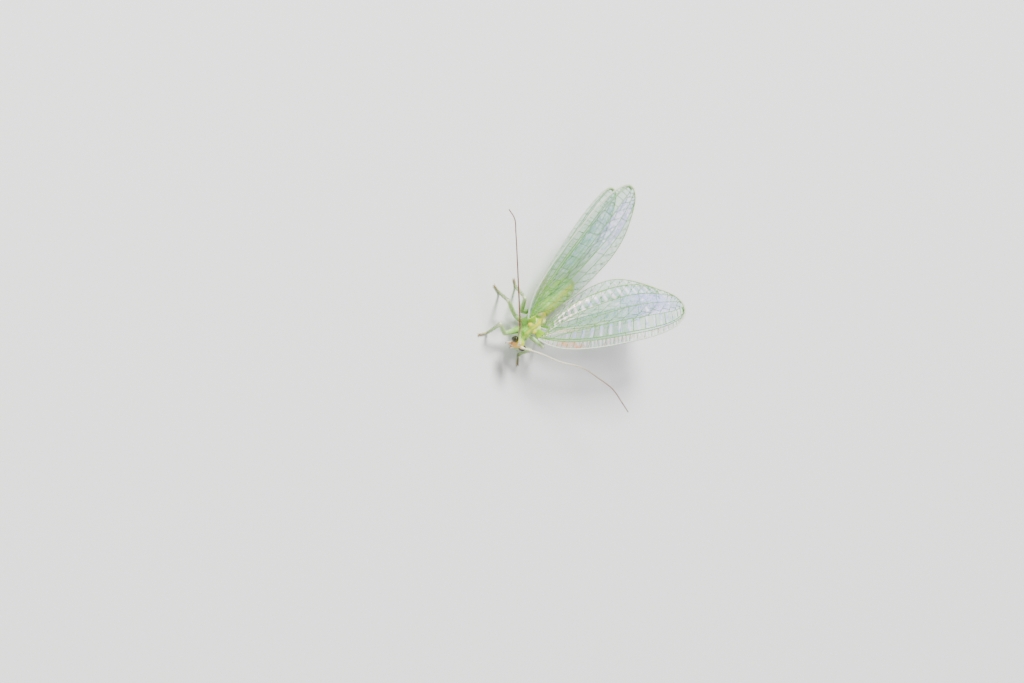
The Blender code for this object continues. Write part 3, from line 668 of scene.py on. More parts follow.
def sheen_at(sheet, share, across):
    """Colour and cover of the membrane: nearly clear, with painted reflections, pearly patches where cells
    catch the light.
    """
    painted_shine = sheet.wing["painted_shine"]
    front = sheet.vein_at("subcosta", share)
    sector = sheet.vein_at("sector", share) if share > 0.14 else 0.36
    radius = sheet.vein_at("radius", share)
    cubitus = sheet.vein_at("cubitus", share) if share < 0.86 else 1.0
    grain = noise.noise(Vector((share * 46.0, across * 15.0, sheet.seed)))
    drift = noise.noise(Vector((share * 9.0, across * 4.0, sheet.seed + 5.0)))
    colour = blend_colours(MEMBRANE_CLEAR, SHEEN_TEAL, 0.5 + 0.5 * drift)
    cover = 0.22 + 0.08 * drift - 0.11 * smooth_step(0.50, 0.2, share)
    if across < front:
        # painted reflections: pearly and gold glints in the cells behind the front edge
        cell = pulse(sheet.plan["costal"] * 2.32, share + 0.012 + 0.01 * across, 0.42)
        near = smooth_step(0.34, 0.05, share)
        gold_glint = bump(0.25, 0.13, share) * (0.6 + 0.6 * grain)
        glow = cell * (0.55 * near + 0.30) * (0.75 + 0.5 * grain)
        painted_glint = blend_colours(blend_colours(SHEEN_WHITE, SHEEN_PINK, 0.3 + grain), SHEEN_GOLD, gold_glint * 1.4)
        patch = max(cell, 0.8 * smooth_step(0.1, 0.5, gold_glint))
        colour = blend_colours(colour, painted_glint, patch * painted_shine)
        cover += 0.66 * painted_shine * max(glow, 0.9 * gold_glint * patch)
    elif radius < across < sector:
        # painted reflections: pearly bars between the radius and the sector
        cell = pulse(RADIAL_BARS, share + 0.004 * drift, 0.24)
        painted_glint = blend_colours(SHEEN_WHITE, SHEEN_VIOLET, 0.45 + 0.8 * grain)
        colour = blend_colours(colour, painted_glint, cell * painted_shine)
        cover += 0.50 * painted_shine * cell * bump(0.50, 0.44, share) * (0.8 + 0.7 * grain)
    elif across > cubitus:
        # painted reflections: pearly bars in the cells behind the cubitus
        inside = (across - cubitus) / max(1.0 - cubitus, 0.02)
        bar = pulse(sheet.plan["cubital"] * 2.0, share - 0.03 * (1 - inside), 0.30)
        painted_glint = blend_colours(SHEEN_WHITE, SHEEN_VIOLET, 0.2 + grain)
        painted_glint = blend_colours(painted_glint, SHEEN_PINK, 0.9 * (drift + 0.15))
        colour = blend_colours(colour, painted_glint, bar * painted_shine)
        glow = bar * bump(0.42, 0.50, share) * bump(0.45, 0.62, inside)
        cover += 0.80 * painted_shine * glow * (0.85 + 0.6 * grain)
    else:
        # painted reflections: violet sheen over the outer wing and white sparks
        outer = bump(0.70, 0.34, share)
        colour = blend_colours(colour, blend_colours(SHEEN_VIOLET, SHEEN_LILAC, 0.5 + grain), outer)
        cover += 0.42 * outer * smooth_step(-0.35, 0.45, grain + 0.4 * drift)
        spark = smooth_step(0.42, 0.62, grain) * smooth_step(0.30, 0.60, share)
        cover += 0.25 * spark
        colour = blend_colours(colour, SHEEN_WHITE, spark)
    # painted reflections: pink glints near the root
    base = smooth_step(0.16, 0.02, share)
    spot = smooth_step(0.15, 0.5, noise.noise(Vector((share * 90.0, across * 11.0, sheet.seed + 9.0))))
    colour = blend_colours(colour, SHEEN_PINK, base * spot)
    cover += 0.5 * base * spot
    stigma = bump(0.875, 0.055, share) * smooth_step(front + 0.02, front - 0.02, across)
    colour = blend_colours(colour, STIGMA_GREEN, stigma)
    cover += 0.5 * stigma
    return (*colour, min(max(cover, LEAST_COVER), MOST_COVER))


def build_membrane(name, sheet):
    shape = Shape()
    columns = MEMBRANE_COLUMNS
    rows = MEMBRANE_ROWS
    for face in (1, -1):
        for column in range(columns + 1):
            for row in range(rows + 1):
                share = column / columns
                across = row / rows
                shape.points.append(sheet.point(share, across, face * MEMBRANE_HALF))
                shape.colours.append(sheen_at(sheet, share, across))
    stride = rows + 1
    offset = (columns + 1) * stride
    for column in range(columns):
        for row in range(rows):
            near = column * stride + row
            shape.faces.append((near, near + 1, near + stride + 1, near + stride))
            low = offset + near
            shape.faces.append((low, low + stride, low + stride + 1, low + 1))
    rim = [column * stride for column in range(columns + 1)]
    rim += [columns * stride + row for row in range(1, rows + 1)]
    rim += [column * stride + rows for column in range(columns - 1, -1, -1)]
    rim += list(range(rows - 1, 0, -1))
    for start, end in zip(rim, rim[1:] + rim[:1]):
        shape.faces.append((start, offset + start, offset + end, end))
    mesh = make_mesh(name, shape)
    paint_mesh(mesh, shape.colours)
    return mesh


def add_body(shape):
    """Neck, thorax and waist as one tube, with the lobes of the back and the pads of the wings."""
    power = 2 / BODY_SQUARENESS
    knots = smooth_line([(y, x, z) for y, x, z, _, _ in BODY_RINGS], 5)
    sizes = smooth_line([(width, height, 0) for _, _, _, width, height in BODY_RINGS], 5)
    sides = 48
    rings = []
    colours = []
    for knot, size in zip(knots, sizes):
        ring = []
        ring_colours = []
        for step in range(sides):
            angle = 2 * math.pi * step / sides
            across = math.copysign(abs(math.cos(angle)) ** power, math.cos(angle))
            up = math.copysign(abs(math.sin(angle)) ** power, math.sin(angle))
            ring.append(Vector((knot.y + size.x * across, knot.x, knot.z + size.y * up)))
            ring_colours.append(thorax_colour(across, up))
        rings.append(ring)
        colours.append(ring_colours)
    shape.add_rings(rings, colours)
    lobe_colours = {"yellow": YELLOW, "cream": CREAM, "green": LEAF_GREEN}
    for centre, half, kind in THORAX_LOBES:
        ball(shape, Vector(centre), half, LEVEL, lambda spot, kind=kind: lobe_colours[kind], 14, 20)
    for wing in WINGS.values():
        sheet = WingSheet(wing)
        middle = sheet.point(0.0, 0.46)
        for step in range(ROOT_RIBS):
            place = step / (ROOT_RIBS - 1)
            swell = math.sin(math.pi * (0.12 + 0.76 * place))
            outer = sheet.point(0.0, 0.08 + 0.76 * place)
            inner_y = middle.y + (outer.y - middle.y) * 0.35
            inner = Vector((outer.x * 0.40, inner_y, outer.z - 0.38 + 0.14 * swell))
            radii = [0.10 + 0.12 * swell, 0.06 + 0.09 * swell, 0.045 + 0.015 * swell]
            tapered(shape, inner, outer, radii, 14,
                    lambda share: blend_colours(LEAF_GREEN, VERTEX_GREEN, 0.5 * share))


def thorax_colour(across, up):
    middle = bump(0.0, 0.30, across) * smooth_step(0.3, 0.8, up)
    side = blend_colours(LEAF_GREEN, DEEP_GREEN, 0.35 * smooth_step(0.0, -0.8, up))
    return blend_colours(side, YELLOW, 0.85 * middle)


def body_marks_and_highlights(spot, colour):
    """Colour that crosses from one part to the next: painted highlights as cream blotches on the back, an
    olive saddle across the back where the thorax narrows, and a pale stripe.
    """
    above = smooth_step(1.9, 2.25, spot.z)
    mottle = noise.noise(spot * 3.1)
    fine = noise.noise(spot * 9.0)
    saddle = bump(0.52, 0.30, spot.y) * bump(-0.1, 0.34, abs(spot.x) - 0.12) * above
    colour = blend_colours(colour, OLIVE, 0.55 * saddle * smooth_step(-0.3, 0.3, mottle))
    # painted highlights: cream blotches on the raised lobes of the back
    highlight_blotch = (bump(-0.34, 0.26, spot.y) + bump(0.95, 0.24, spot.y)) * bump(0.26, 0.20, abs(spot.x)) * above
    colour = blend_colours(colour, CREAM, 0.55 * highlight_blotch)
    stripe = bump(0.0, 0.13, spot.x) * smooth_step(-1.4, -1.1, spot.y) * smooth_step(1.8, 1.4, spot.y) * above
    colour = blend_colours(colour, YELLOW, 0.7 * stripe)
    return blend_colours(colour, DEEP_GREEN, 0.14 + 0.22 * fine)


def add_abdomen(shape):
    """A soft tube of bulging segments with a pale stripe along its back."""
    line = smooth_line(ABDOMEN_LINE, EDGE_STEPS)
    rows = ABDOMEN_SEGMENTS * 14
    sides = 56
    points = []
    radii = []
    for row in range(rows + 1):
        share = row / rows
        points.append(read_list(line, share))
        within = (row % 14) / 14
        bulge = 1 + SEGMENT_BULGE * (math.sin(math.pi * within) ** 0.6 - 0.7)
        radii.append((read_list(ABDOMEN_HALF_WIDTHS, share) - 0.01) * bulge)
    end = points[-1]
    ahead = (points[-1] - points[-3]).normalized()
    for distance, radius in TAIL_KNOB:
        points.append(end + ahead * distance)
        radii.append(radius)
    rings = []
    colours = []
    for index, (point, radius, (_, side, up)) in enumerate(zip(points, radii, frames_along(points))):
        share = index / rows
        ring = []
        ring_colours = []
        for step in range(sides):
            angle = 2 * math.pi * step / sides
            spot = point + side * radius * math.cos(angle) + up * radius * math.sin(angle)
            spot.z = max(spot.z, 0.0)
            ring.append(spot)
            ring_colours.append(abdomen_colour(share, math.cos(angle), math.sin(angle)))
        rings.append(ring)
        colours.append(ring_colours)
    shape.add_rings(rings, colours)


def abdomen_colour(share, across, up):
    within = share * ABDOMEN_SEGMENTS % 1.0
    stripe = bump(0.0, 0.42, across) * smooth_step(0.2, 0.7, up)
    joint = smooth_step(0.86, 1.0, within) + smooth_step(0.14, 0.0, within)
    flank = bump(0.75, 0.5, across) * smooth_step(-0.7, 0.1, up)
    colour = blend_colours(ABDOMEN_GREEN, YELLOW, 0.35 * flank)
    # painted sheen: a bluish-white highlight on the upper side of the back, about two thirds along
    painted_shine = bump(-0.45, 0.4, across) * smooth_step(0.2, 0.7, up) * bump(0.66, 0.3, share)
    colour = blend_colours(colour, SHEEN_BLUISH_WHITE, 0.6 * painted_shine)
    colour = blend_colours(colour, YELLOW, 0.9 * stripe)
    colour = blend_colours(colour, CREAM, 0.4 * min(joint, 1.0))
    colour = blend_colours(colour, YELLOW, 0.5 * smooth_step(0.94, 1.02, share))
    return blend_colours(colour, CREAM, 0.5 * smooth_step(-0.3, -0.9, up))


def add_head(shape):
    left, forward, up = head_axes()
    levels = smooth_line([(height, shift, 0) for height, shift, _, _ in HEAD_LEVELS], 7)
    widths = smooth_line([(half_width, half_depth, 0) for _, _, half_width, half_depth in HEAD_LEVELS], 7)
    sides = 64
    rings = []
    colours = []
    for level, width in zip(levels, widths):
        middle = head_point(0.0, level.y, level.x)
        ring = []
        ring_colours = []
        for step in range(sides):
            angle = 2 * math.pi * step / sides
            ring.append(middle + left * width.x * math.cos(angle) + forward * width.y * math.sin(angle))
            ring_colours.append(head_colour(width.x * math.cos(angle), math.sin(angle), level.x))
        rings.append(ring)
        colours.append(ring_colours)
    shape.add_rings(rings, colours)
    axes = (left, forward, up)
    ball(shape, head_point(0.0, 0.24, -0.16), (0.20, 0.17, 0.17), axes,
         lambda spot: blend_colours(FACE_YELLOW, DARK_MARK, 0.8 * smooth_step(0.55, 0.85, abs(spot.x))))
    ball(shape, head_point(0.0, 0.24, -0.42), (0.16, 0.12, 0.13), axes,
         lambda spot: blend_colours(CREAM, DARK_MARK, 0.9 * smooth_step(0.35, 0.7, abs(spot.x))))
    ball(shape, head_point(0.0, -0.06, 0.38), (0.26, 0.22, 0.15), axes, lambda spot: VERTEX_GREEN)
    for side in (-1, 1):
        ball(shape, head_point(0.15 * side, 0.20, 0.30), (0.13, 0.12, 0.12), axes, lambda spot: FACE_YELLOW)
        outer_palp = on_side(MAXILLARY_PALP, side)
        add_beads(shape, outer_palp, OUTER_PALP_RADIUS,
                  lambda share: blend_colours(PALP_WHITE, DARK_MARK, 0.55 * (share > 0.7)))
        add_beads(shape, on_side(LABIAL_PALP, side), INNER_PALP_RADIUS, lambda share: PALP_WHITE)
        jaw = smooth_line(on_side(MANDIBLE, side), 5)
        shares = [index / (len(jaw) - 1) for index in range(len(jaw))]
        tube(shape, jaw, [0.085 * (1 - 0.75 * share) for share in shares], 14,
             [blend_colours(FACE_YELLOW, DARK_MARK, smooth_step(0.5, 1.0, share)) for share in shares])


def on_side(spots, side):
    """Places on the head, mirrored for its right side."""
    return [head_point(spot[0] * side, spot[1], spot[2]) for spot in spots]


def head_colour(side, front, height):
    """Yellow-green above, orange-yellow face, dark cheek marks below each eye and bars over the mouth."""
    colour = blend_colours(FACE_YELLOW, VERTEX_GREEN, smooth_step(0.0, 0.35, height))
    colour = blend_colours(colour, LEAF_GREEN, 0.8 * smooth_step(0.2, -0.5, front))
    cheek = bump(0.28, 0.15, abs(side)) * bump(-0.30, 0.20, height) * smooth_step(0.0, 0.5, front)
    bar = bump(0.15, 0.09, abs(side)) * bump(-0.36, 0.16, height) * smooth_step(0.4, 0.8, front)
    return blend_colours(colour, DARK_MARK, 0.95 * max(cheek, bar))


def add_beads(shape, joints, radius, colour_at):
    """A row of short swollen joints through the points."""
    for index, (start, end) in enumerate(zip(joints, joints[1:])):
        place = index / max(1, len(joints) - 2)
        tapered(shape, start, end, [radius * 0.7, radius, radius * 1.05, radius * 0.75], 12,
                lambda share, place=place: colour_at(place))


def add_leg(shape, joints):
    """Coxa, trochanter, femur, tibia and five tarsal joints."""
    hip, trochanter, knee, ankle, toe = [Vector(joint) for joint in joints]
    inward = ((trochanter - knee).normalized() + (ankle - knee).normalized()).normalized()
    knee = knee + inward * KNEE_INSET
    inner_hip = hip + (hip - trochanter).normalized() * 0.30
    tapered(shape, inner_hip, trochanter, COXA_RADII, 24,
            lambda share: blend_colours(LEAF_GREEN, LEG_GREEN, share))
    ball(shape, trochanter, (0.135, 0.135, 0.135), LEVEL, lambda spot: LEG_GREEN, 12, 16)
    tapered(shape, trochanter, knee, FEMUR_RADII, 24,
            lambda share: blend_colours(LEG_GREEN, KNEE_PALE, smooth_step(0.8, 1.0, share)))
    ball(shape, knee, (0.12, 0.12, 0.12), LEVEL, lambda spot: KNEE_PALE, 12, 16)
    tapered(shape, knee, ankle, TIBIA_RADII, 20,
            lambda share: blend_colours(KNEE_PALE, LEG_GREEN, smooth_step(0.0, 0.3, share)))
    ankle_colour = blend_colours(LEG_GREEN, TARSUS_BROWN, 0.4)
    ball(shape, ankle, (0.09, 0.09, 0.09), LEVEL, lambda spot: ankle_colour, 12, 16)
    radii = [TARSUS_RADIUS * swell for swell in (0.75, 1.0, 1.1, 0.7)]
    for index in range(TARSUS_JOINTS):
        start = ankle.lerp(toe, tarsus_share(index))
        end = ankle.lerp(toe, tarsus_share(index + 1))
        tapered(shape, start, end, radii, 14,
                lambda share, index=index: blend_colours(LEG_GREEN, TARSUS_BROWN, 0.35 + 0.13 * index))


def tarsus_share(index):
    """The first tarsal joint is the longest, the three middle ones are short."""
    return [0.0, 0.36, 0.53, 0.67, 0.79, 1.0][index]


def build_skin(material):
    """All flesh fused into one surface, with its colours read from the nearest piece that it came from."""
    shape = Shape()
    add_body(shape)
    add_abdomen(shape)
    add_head(shape)
    for joints in LEGS.values():
        add_leg(shape, joints)
    rough = bpy.data.objects.new("rough_body", make_mesh("rough_body", shape))
    bpy.context.scene.collection.objects.link(rough)
    fuse = rough.modifiers.new("fuse", "REMESH")
    fuse.mode = "VOXEL"
    fuse.voxel_size = VOXEL
    soften = rough.modifiers.new("soften", "SMOOTH")
    soften.factor = 0.5
    soften.iterations = SMOOTHING
    fused = bpy.data.meshes.new_from_object(rough.evaluated_get(bpy.context.evaluated_depsgraph_get()))
    bpy.data.objects.remove(rough, do_unlink=True)
    tree = kdtree.KDTree(len(shape.points))
    for index, point in enumerate(shape.points):
        tree.insert(point, index)
    tree.balance()
    colours = []
    for vert in fused.vertices:
        near = tree.find_n(vert.co, 4)
        weights = [1.0 / (distance + 0.02) for _, _, distance in near]
        total = sum(weights)
        nearby = [shape.colours[index] for _, index, _ in near]
        mixed = [sum(weight * colour[part] for weight, colour in zip(weights, nearby)) / total
                 for part in range(3)]
        colours.append(body_marks_and_highlights(vert.co, tuple(mixed)) if vert.co.y > -1.45 else tuple(mixed))
    paint_mesh(fused, colours)
    surface = BVHTree.FromPolygons([vert.co.copy() for vert in fused.vertices],
                                   [tuple(face.vertices) for face in fused.polygons])
    nodes = ["head", "prothorax", "mesothorax", "metathorax", "abdomen", *LEGS]
    finish_piece("skin", fused, material, "thorax", *nodes)
    return surface


def grow_hairs(coat, surface, chart, line, radii, kind, draw):
    """Hairs over the skin round one tube, leaning along it, each rooted on the skin itself."""
    count, length, radius, colour, lean = kind
    frames = frames_along(line)
    for _ in range(count):
        along = draw.random()
        around = draw.random()
        place = along * (len(line) - 1)
        index = min(int(place), len(line) - 2)
        ahead, side, up = frames[index]
        angle = 2 * math.pi * around
        outward = side * math.cos(angle) + up * math.sin(angle)
        guess = line[index].lerp(line[index + 1], place - index) + outward * read_list(radii, along)
        root, normal, _, distance = surface.find_nearest(guess)
        grown = length * (0.7 + 0.6 * draw.random())
        if distance > SURFACE_REACH or root.z < grown:
            continue
        sway = side * (draw.random() - 0.5) * 0.5
        coat.add_hair(root, normal, ahead * lean + normal * (1 - lean) + sway, grown, radius, colour,
                      chart_spot(chart, along, around))


def build_body_hairs(surface, material):
    """Short pale hairs on the thorax, abdomen, head and legs, with darker bristles on the shins and feet."""
    draw = random.Random(SEED)
    coat = Coat()
    body = smooth_line([(x, y, z) for y, x, z, _, _ in BODY_RINGS], 4)
    body_radii = [max(width, height) for _, _, _, width, height in BODY_RINGS]
    grow_hairs(coat, surface, 0, body, body_radii, THORAX_HAIRS, draw)
    abdomen = smooth_line(ABDOMEN_LINE, EDGE_STEPS)
    grow_hairs(coat, surface, 1, abdomen, ABDOMEN_HALF_WIDTHS, ABDOMEN_HAIRS, draw)
    crown = [head_point(0.0, -0.02, height) for height in (0.45, 0.2, 0.0, -0.2, -0.5)]
    grow_hairs(coat, surface, 2, crown, [0.2, 0.38, 0.4, 0.35, 0.2], HEAD_HAIRS, draw)
    for number, joints in enumerate(LEGS.values()):
        _, trochanter, knee, ankle, toe = [Vector(joint) for joint in joints]
        chart = 3 + number * 3
        grow_hairs(coat, surface, chart, [trochanter, knee], FEMUR_RADII, FEMUR_HAIRS, draw)
        grow_hairs(coat, surface, chart + 1, [knee, ankle], TIBIA_RADII, TIBIA_HAIRS, draw)
        grow_hairs(coat, surface, chart + 2, [ankle, toe], [TARSUS_RADIUS] * 2, TARSUS_HAIRS, draw)
    finish_piece("body_hairs", coat.mesh("body_hairs"), material, "thorax")


def build_feeler_hairs(name, thread, side, material):
    """Rings of fine bristles that lean forward on every joint of a feeler."""
    draw = random.Random(SEED + side)
    coat = Coat()
    frames = frames_along(thread)
    for index in range(2, len(thread) - 1):
        ahead, across, up = frames[index]
        share = index / (len(thread) - 1)
        for step in range(6):
            around = (step + draw.random()) / 6
            angle = 2 * math.pi * around
            outward = across * math.cos(angle) + up * math.sin(angle)
            root = thread[index] + outward * read_list(FEELER_RADII, share) * 0.95
            coat.add_hair(root, outward * 0.6 + ahead, ahead, 0.075, 0.0035, feeler_colour(share, side),
                          chart_spot(0, share, around))
    finish_piece(name, coat.mesh(name), material, "feeler")


def build_wing_hairs(name, sheet, material):
    """A fringe round the wing's edge and short bristles along its long veins."""
    draw = random.Random(SEED + int(sheet.seed * 10))
    coat = Coat()
    up = sheet.normal.copy()
    along = sheet.along.copy()
    across_way = sheet.across.copy()
    for way in (up, along, across_way):
        way.x *= sheet.wing["side"]
    for edge, outward in ((0.0, -across_way), (1.0, across_way)):
        for step in range(FRINGE_COUNT):
            share = 0.02 + 0.98 * (step + draw.random()) / FRINGE_COUNT
            out = outward + along * (0.4 + share ** 4)
            length = 0.13 + 0.05 * draw.random()
            coat.add_hair(sheet.point(share, edge), out, along, length, 0.0045, HAIR_PALE,
                          chart_spot(0, share, edge))
    for step in range(FRINGE_COUNT // 10):
        edge = (step + draw.random()) / (FRINGE_COUNT // 10)
        coat.add_hair(sheet.point(1.0, edge), along, along, 0.15, 0.0045, HAIR_PALE, chart_spot(0, 1.0, edge))
    for line in sheet.lines.values():
        for step in range(VEIN_HAIR_COUNT):
            place = (step + draw.random()) / VEIN_HAIR_COUNT
            spot = read_list(line, place)
            for face in (1, -1):
                root = sheet.point(spot.x, min(spot.y, 0.99), face * VEIN_HAIR_LIFT)
                coat.add_hair(root, up * face + along * 0.5, along, 0.10, 0.004, HAIR_DARK,
                              chart_spot(1, spot.x, min(spot.y, 0.99)))
    finish_piece(name, coat.mesh(name), material, "wing")


def build_claws(material):
    """Two curved claws and a soft pad at the end of each foot."""
    shape = Shape()
    for joints in LEGS.values():
        ankle, toe = Vector(joints[3]), Vector(joints[4])
        ahead = (toe - ankle)
        ahead.z = 0.0
        ahead.normalize()
        aside = ahead.cross(UP)
        for side in (-1, 1):
            foot = toe - ahead * 0.04 + aside * side * 0.03
            bend = toe + ahead * 0.07 + aside * side * 0.08
            bend.z = toe.z + 0.03
            tip = toe + ahead * 0.13 + aside * side * 0.10
            tip.z = 0.012
            line = smooth_line([foot, bend, tip], 6)
            shares = [index / (len(line) - 1) for index in range(len(line))]
            tube(shape, line, [0.026 * (1 - 0.85 * share) for share in shares], 10,
                 [blend_colours(TARSUS_BROWN, CLAW_BROWN, share) for share in shares])
        pad = toe + ahead * 0.06
        pad.z = 0.035
        ball(shape, pad, (0.045, 0.045, 0.03), (aside, ahead, UP), lambda spot: KNEE_PALE, 10, 14)
    mesh = make_mesh("claws", shape)
    paint_mesh(mesh, shape.colours)
    finish_piece("claws", mesh, material, "leg")


def build_eyes(material):
    for side, name in ((-1, "right"), (1, "left")):
        left, forward, up = head_axes()
        centre = head_point(EYE_SIDE * side, EYE_FORWARD, EYE_HEIGHT)
        work = bmesh.new()
        bmesh.ops.create_icosphere(work, subdivisions=5, radius=1.0)
        lenses = set(work.verts)
        bmesh.ops.subdivide_edges(work, edges=work.edges, cuts=1, use_grid_fill=True)
        for vert in work.verts:
            reach = 1.0 if vert in lenses else 1.0 - FACET_DEPTH
            unit = vert.co.normalized() * reach
            half = EYE_HALF - Vector((EYE_INSET,) * 3)
            vert.co = centre + left * half.x * unit.x + forward * half.y * unit.y + up * half.z * unit.z
        mesh = bpy.data.meshes.new("eye")
        work.to_mesh(mesh)
        work.free()
        finish_piece("eye_" + name + "_lens", mesh, material, "eye", "eye_" + name)


def build_feelers(material, hair):
    for side, bends, name in ((-1, RIGHT_FEELER, "right"), (1, LEFT_FEELER, "left")):
        shape = Shape()
        foot = head_point(SCAPE_FOOT[0] * side, SCAPE_FOOT[1], SCAPE_FOOT[2])
        elbow = head_point((SCAPE_FOOT[0] + 0.07) * side, SCAPE_FOOT[1] + 0.03, SCAPE_FOOT[2] + 0.26)
        tapered(shape, foot, elbow, SCAPE_RADII, 18,
                lambda share: blend_colours(FACE_YELLOW, FEELER_ROOT, share))
        thread = smooth_line([elbow] + [Vector(bend) for bend in bends], 24)
        lengths = [0.0]
        for before, after in zip(thread, thread[1:]):
            lengths.append(lengths[-1] + (after - before).length)
        joints = [place_on(thread, lengths, lengths[-1] * index / FEELER_JOINTS)
                  for index in range(FEELER_JOINTS + 1)]
        for index, (start, end) in enumerate(zip(joints, joints[1:])):
            share = index / FEELER_JOINTS
            radius = read_list(FEELER_RADII, share)
            if index == 0:
                radius = PEDICEL_RADIUS
            colour = feeler_colour(share, side)
            tapered(shape, start, end, [radius * 0.78, radius, radius * 1.06, radius * 0.82], 10,
                    lambda place, colour=colour: blend_colours(colour, FEELER_BROWN, 0.35 * (place > 0.9)), 5)
        mesh = make_mesh("feeler", shape)
        paint_mesh(mesh, shape.colours)
        finish_piece("feeler_" + name, mesh, material, "feeler", "antenna_" + name)
        build_feeler_hairs("feeler_hairs_" + name, thread, side, hair)


def feeler_colour(share, side):
    """The right feeler is red-brown nearly to its root, the left one is cream at first."""
    if side < 0:
        return blend_colours(FEELER_ROOT, FEELER_BROWN, smooth_step(0.0, 0.12, share))
    return blend_colours(FEELER_ROOT, FEELER_BROWN, 0.85 * smooth_step(0.25, 0.75, share))


def place_on(line, lengths, distance):
    """The point at a distance along a line."""
    for index in range(len(line) - 1):
        if lengths[index + 1] >= distance:
            span = lengths[index + 1] - lengths[index]
            return line[index].lerp(line[index + 1], (distance - lengths[index]) / max(span, 1e-9))
    return line[-1].copy()


def new_material(name, roughness):
    material = bpy.data.materials.new(name)
    material.use_nodes = True
    shader = material.node_tree.nodes["Principled BSDF"]
    shader.inputs["Roughness"].default_value = roughness
    return material, material.node_tree, shader


def add_noise(tree, scale):
    """A noise texture read from the object's own coordinates."""
    place = tree.nodes.new("ShaderNodeTexCoord")
    noise_node = tree.nodes.new("ShaderNodeTexNoise")
    noise_node.inputs["Scale"].default_value = scale
    tree.links.new(place.outputs["Object"], noise_node.inputs["Vector"])
    return noise_node


def add_grain(tree, shader, source, scale, height, share):
    """Fine noise that mottles a colour and raises small bumps."""
    grain = add_noise(tree, scale)
    grain.inputs["Detail"].default_value = 5.0
    tone = tree.nodes.new("ShaderNodeMapRange")
    tone.inputs["From Min"].default_value = 0.3
    tone.inputs["From Max"].default_value = 0.7
    tone.inputs["To Min"].default_value = 1.0 - share
    tone.inputs["To Max"].default_value = 1.0 + share
    tree.links.new(grain.outputs["Fac"], tone.inputs["Value"])
    mix = tree.nodes.new("ShaderNodeVectorMath")
    mix.operation = "SCALE"
    tree.links.new(source, mix.inputs[0])
    tree.links.new(tone.outputs["Result"], mix.inputs["Scale"])
    tree.links.new(mix.outputs["Vector"], shader.inputs["Base Color"])
    relief = tree.nodes.new("ShaderNodeBump")
    relief.inputs["Strength"].default_value = 0.6
    relief.inputs["Distance"].default_value = height
    tree.links.new(grain.outputs["Fac"], relief.inputs["Height"])
    tree.links.new(relief.outputs["Normal"], shader.inputs["Normal"])


def painted_material(name, roughness, scale, height, share):
    """A finish whose colour is painted on the mesh, with fine grain over it."""
    material, tree, shader = new_material(name, roughness)
    paint = tree.nodes.new("ShaderNodeAttribute")
    paint.attribute_name = "Paint"
    add_grain(tree, shader, paint.outputs["Color"], scale, height, share)
    return material, tree, shader


def skin_material():
    """Soft waxy cuticle: light goes a little way in, and the gloss varies over fine wrinkles."""
    material, tree, shader = painted_material("skin_finish", 0.4, 9000.0, 0.000012, 0.16)
    shader.inputs["Subsurface Weight"].default_value = 0.18
    shader.inputs["Subsurface Radius"].default_value = (0.6, 1.0, 0.2)
    shader.inputs["Subsurface Scale"].default_value = 0.00012
    shader.inputs["Coat Weight"].default_value = 0.12
    shader.inputs["Coat Roughness"].default_value = 0.3
    patches = add_noise(tree, 2500.0)
    gloss = tree.nodes.new("ShaderNodeMapRange")
    gloss.inputs["To Min"].default_value = 0.28
    gloss.inputs["To Max"].default_value = 0.55
    tree.links.new(patches.outputs["Fac"], gloss.inputs["Value"])
    tree.links.new(gloss.outputs["Result"], shader.inputs["Roughness"])
    return material


def eye_material():
    """Dark bronze-green lenses that turn golden in patches, under a clear coat."""
    material, tree, shader = new_material("eye_finish", 0.16)
    patches = add_noise(tree, 4200.0)
    ramp = tree.nodes.new("ShaderNodeValToRGB")
    ramp.color_ramp.elements[0].position = 0.35
    ramp.color_ramp.elements[0].color = (0.012, 0.022, 0.006, 1.0)
    ramp.color_ramp.elements[1].position = 0.75
    ramp.color_ramp.elements[1].color = (0.070, 0.052, 0.008, 1.0)
    tree.links.new(patches.outputs["Fac"], ramp.inputs["Fac"])
    tree.links.new(ramp.outputs["Color"], shader.inputs["Base Color"])
    shader.inputs["Metallic"].default_value = 0.1
    shader.inputs["Coat Weight"].default_value = 0.45
    shader.inputs["Coat Roughness"].default_value = 0.05
    shader.inputs["Specular IOR Level"].default_value = 0.35
    return material


def membrane_material():
    """Clear film whose cells carry painted pearly reflections: its cover is painted, and its gloss shimmers
    with thin-film colour.
    """
    material, tree, shader = new_material("membrane_finish", 0.16)
    shader.inputs["Thin Film Thickness"].default_value = 410.0
    shader.inputs["Thin Film IOR"].default_value = 1.56
    shader.inputs["Specular IOR Level"].default_value = 0.8
    paint = tree.nodes.new("ShaderNodeAttribute")
    paint.attribute_name = "Paint"
    add_grain(tree, shader, paint.outputs["Color"], 14000.0, 0.000006, 0.10)
    tree.links.new(paint.outputs["Alpha"], shader.inputs["Alpha"])
    return material


def build_floor():
    mesh = bpy.data.meshes.new("floor")
    corners = [(x * FLOOR_REACH, y * FLOOR_REACH, 0) for x, y in ((-1, -1), (1, -1), (1, 1), (-1, 1))]
    mesh.from_pydata(corners, [], [(0, 1, 2, 3)])
    item = bpy.data.objects.new("floor", mesh)
    bpy.context.scene.collection.objects.link(item)
    material, _, shader = new_material("floor_finish", 0.85)
    shader.inputs["Base Color"].default_value = (0.86, 0.86, 0.84, 1.0)
    mesh.materials.append(material)


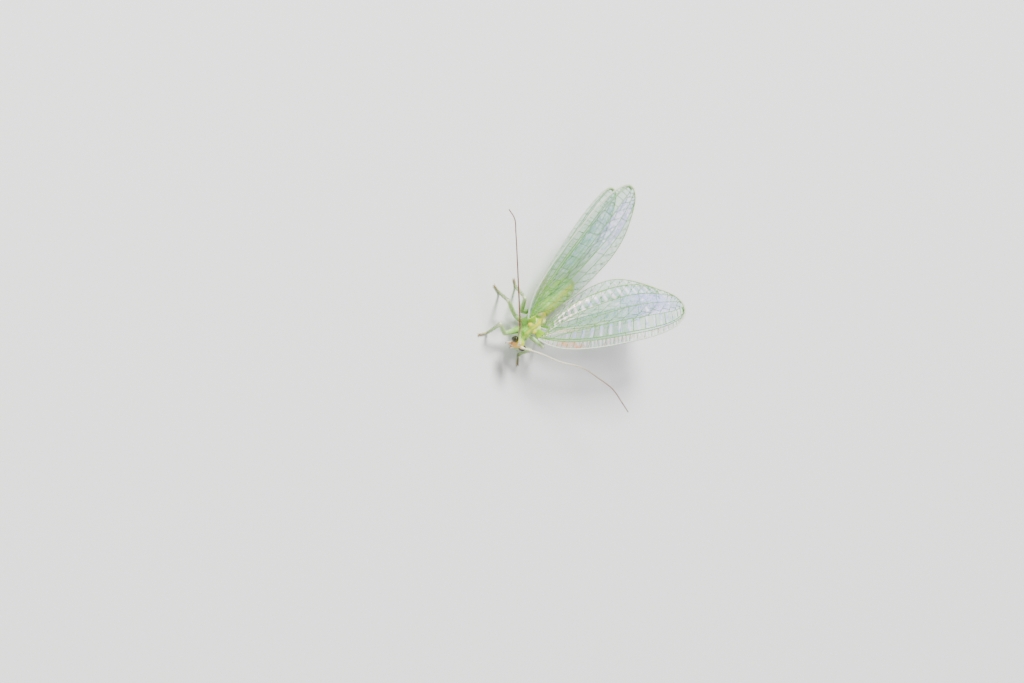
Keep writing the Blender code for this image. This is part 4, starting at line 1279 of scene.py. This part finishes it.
def add_area(name, direction, distance, size, power):
    """A square soft light that shines on the insect from a direction."""
    lamp = bpy.data.lights.new(name, "AREA")
    lamp.energy = power
    lamp.size = size
    item = bpy.data.objects.new(name, lamp)
    toward = Vector(direction).normalized()
    item.location = toward * distance
    item.rotation_mode = "QUATERNION"
    item.rotation_quaternion = toward.to_track_quat("Z", "Y")
    bpy.context.scene.collection.objects.link(item)


def build_lights():
    add_area("key", (-1.37, 0.82, 1.5), 0.5, 0.14, 7.0)
    add_area("fill", (0.8, -1.0, 1.2), 0.6, 0.5, 1.5)
    world = bpy.data.worlds.new("studio")
    world.use_nodes = True
    world.node_tree.nodes["Background"].inputs["Color"].default_value = (0.95, 0.97, 1.0, 1.0)
    world.node_tree.nodes["Background"].inputs["Strength"].default_value = 0.46
    bpy.context.scene.world = world


def build_camera():
    camera = bpy.data.cameras.new("camera")
    camera.lens = LENS
    camera.sensor_width = SENSOR_WIDTH
    camera.clip_start = 0.01
    camera.clip_end = 10.0
    item = bpy.data.objects.new("camera", camera)
    right = VIEW_RIGHT.normalized()
    up = (VIEW_UP - right * VIEW_UP.dot(right)).normalized()
    back = right.cross(up)
    place = FRAME_CENTRE + right * CENTRE_SHIFT[0] + up * CENTRE_SHIFT[1] + back * CAMERA_DISTANCE
    turn = Matrix((right, up, back)).transposed().to_4x4()
    item.matrix_world = Matrix.Translation(place * METRES_PER_MM) @ turn
    bpy.context.scene.collection.objects.link(item)
    bpy.context.scene.camera = item


def build_wings(membrane, vein, hair):
    for name, wing in WINGS.items():
        sheet = WingSheet(wing)
        finish_piece(name + "_membrane", build_membrane(name, sheet), membrane, "wing", name)
        finish_piece(name + "_veins", build_veins(name, sheet), vein, "wing")
        build_wing_hairs(name + "_hairs", sheet, hair)


def main():
    build_camera()
    build_floor()
    build_lights()
    hair, _, _ = painted_material("hair_finish", 0.5, 20000.0, 0.000001, 0.2)
    surface = build_skin(skin_material())
    build_body_hairs(surface, hair)
    claw, _, _ = painted_material("claw_finish", 0.3, 16000.0, 0.000004, 0.15)
    build_claws(claw)
    build_eyes(eye_material())
    feeler, _, _ = painted_material("feeler_finish", 0.45, 16000.0, 0.000006, 0.15)
    build_feelers(feeler, hair)
    vein, _, _ = painted_material("vein_finish", 0.35, 12000.0, 0.000005, 0.12)
    build_wings(membrane_material(), vein, hair)


main()
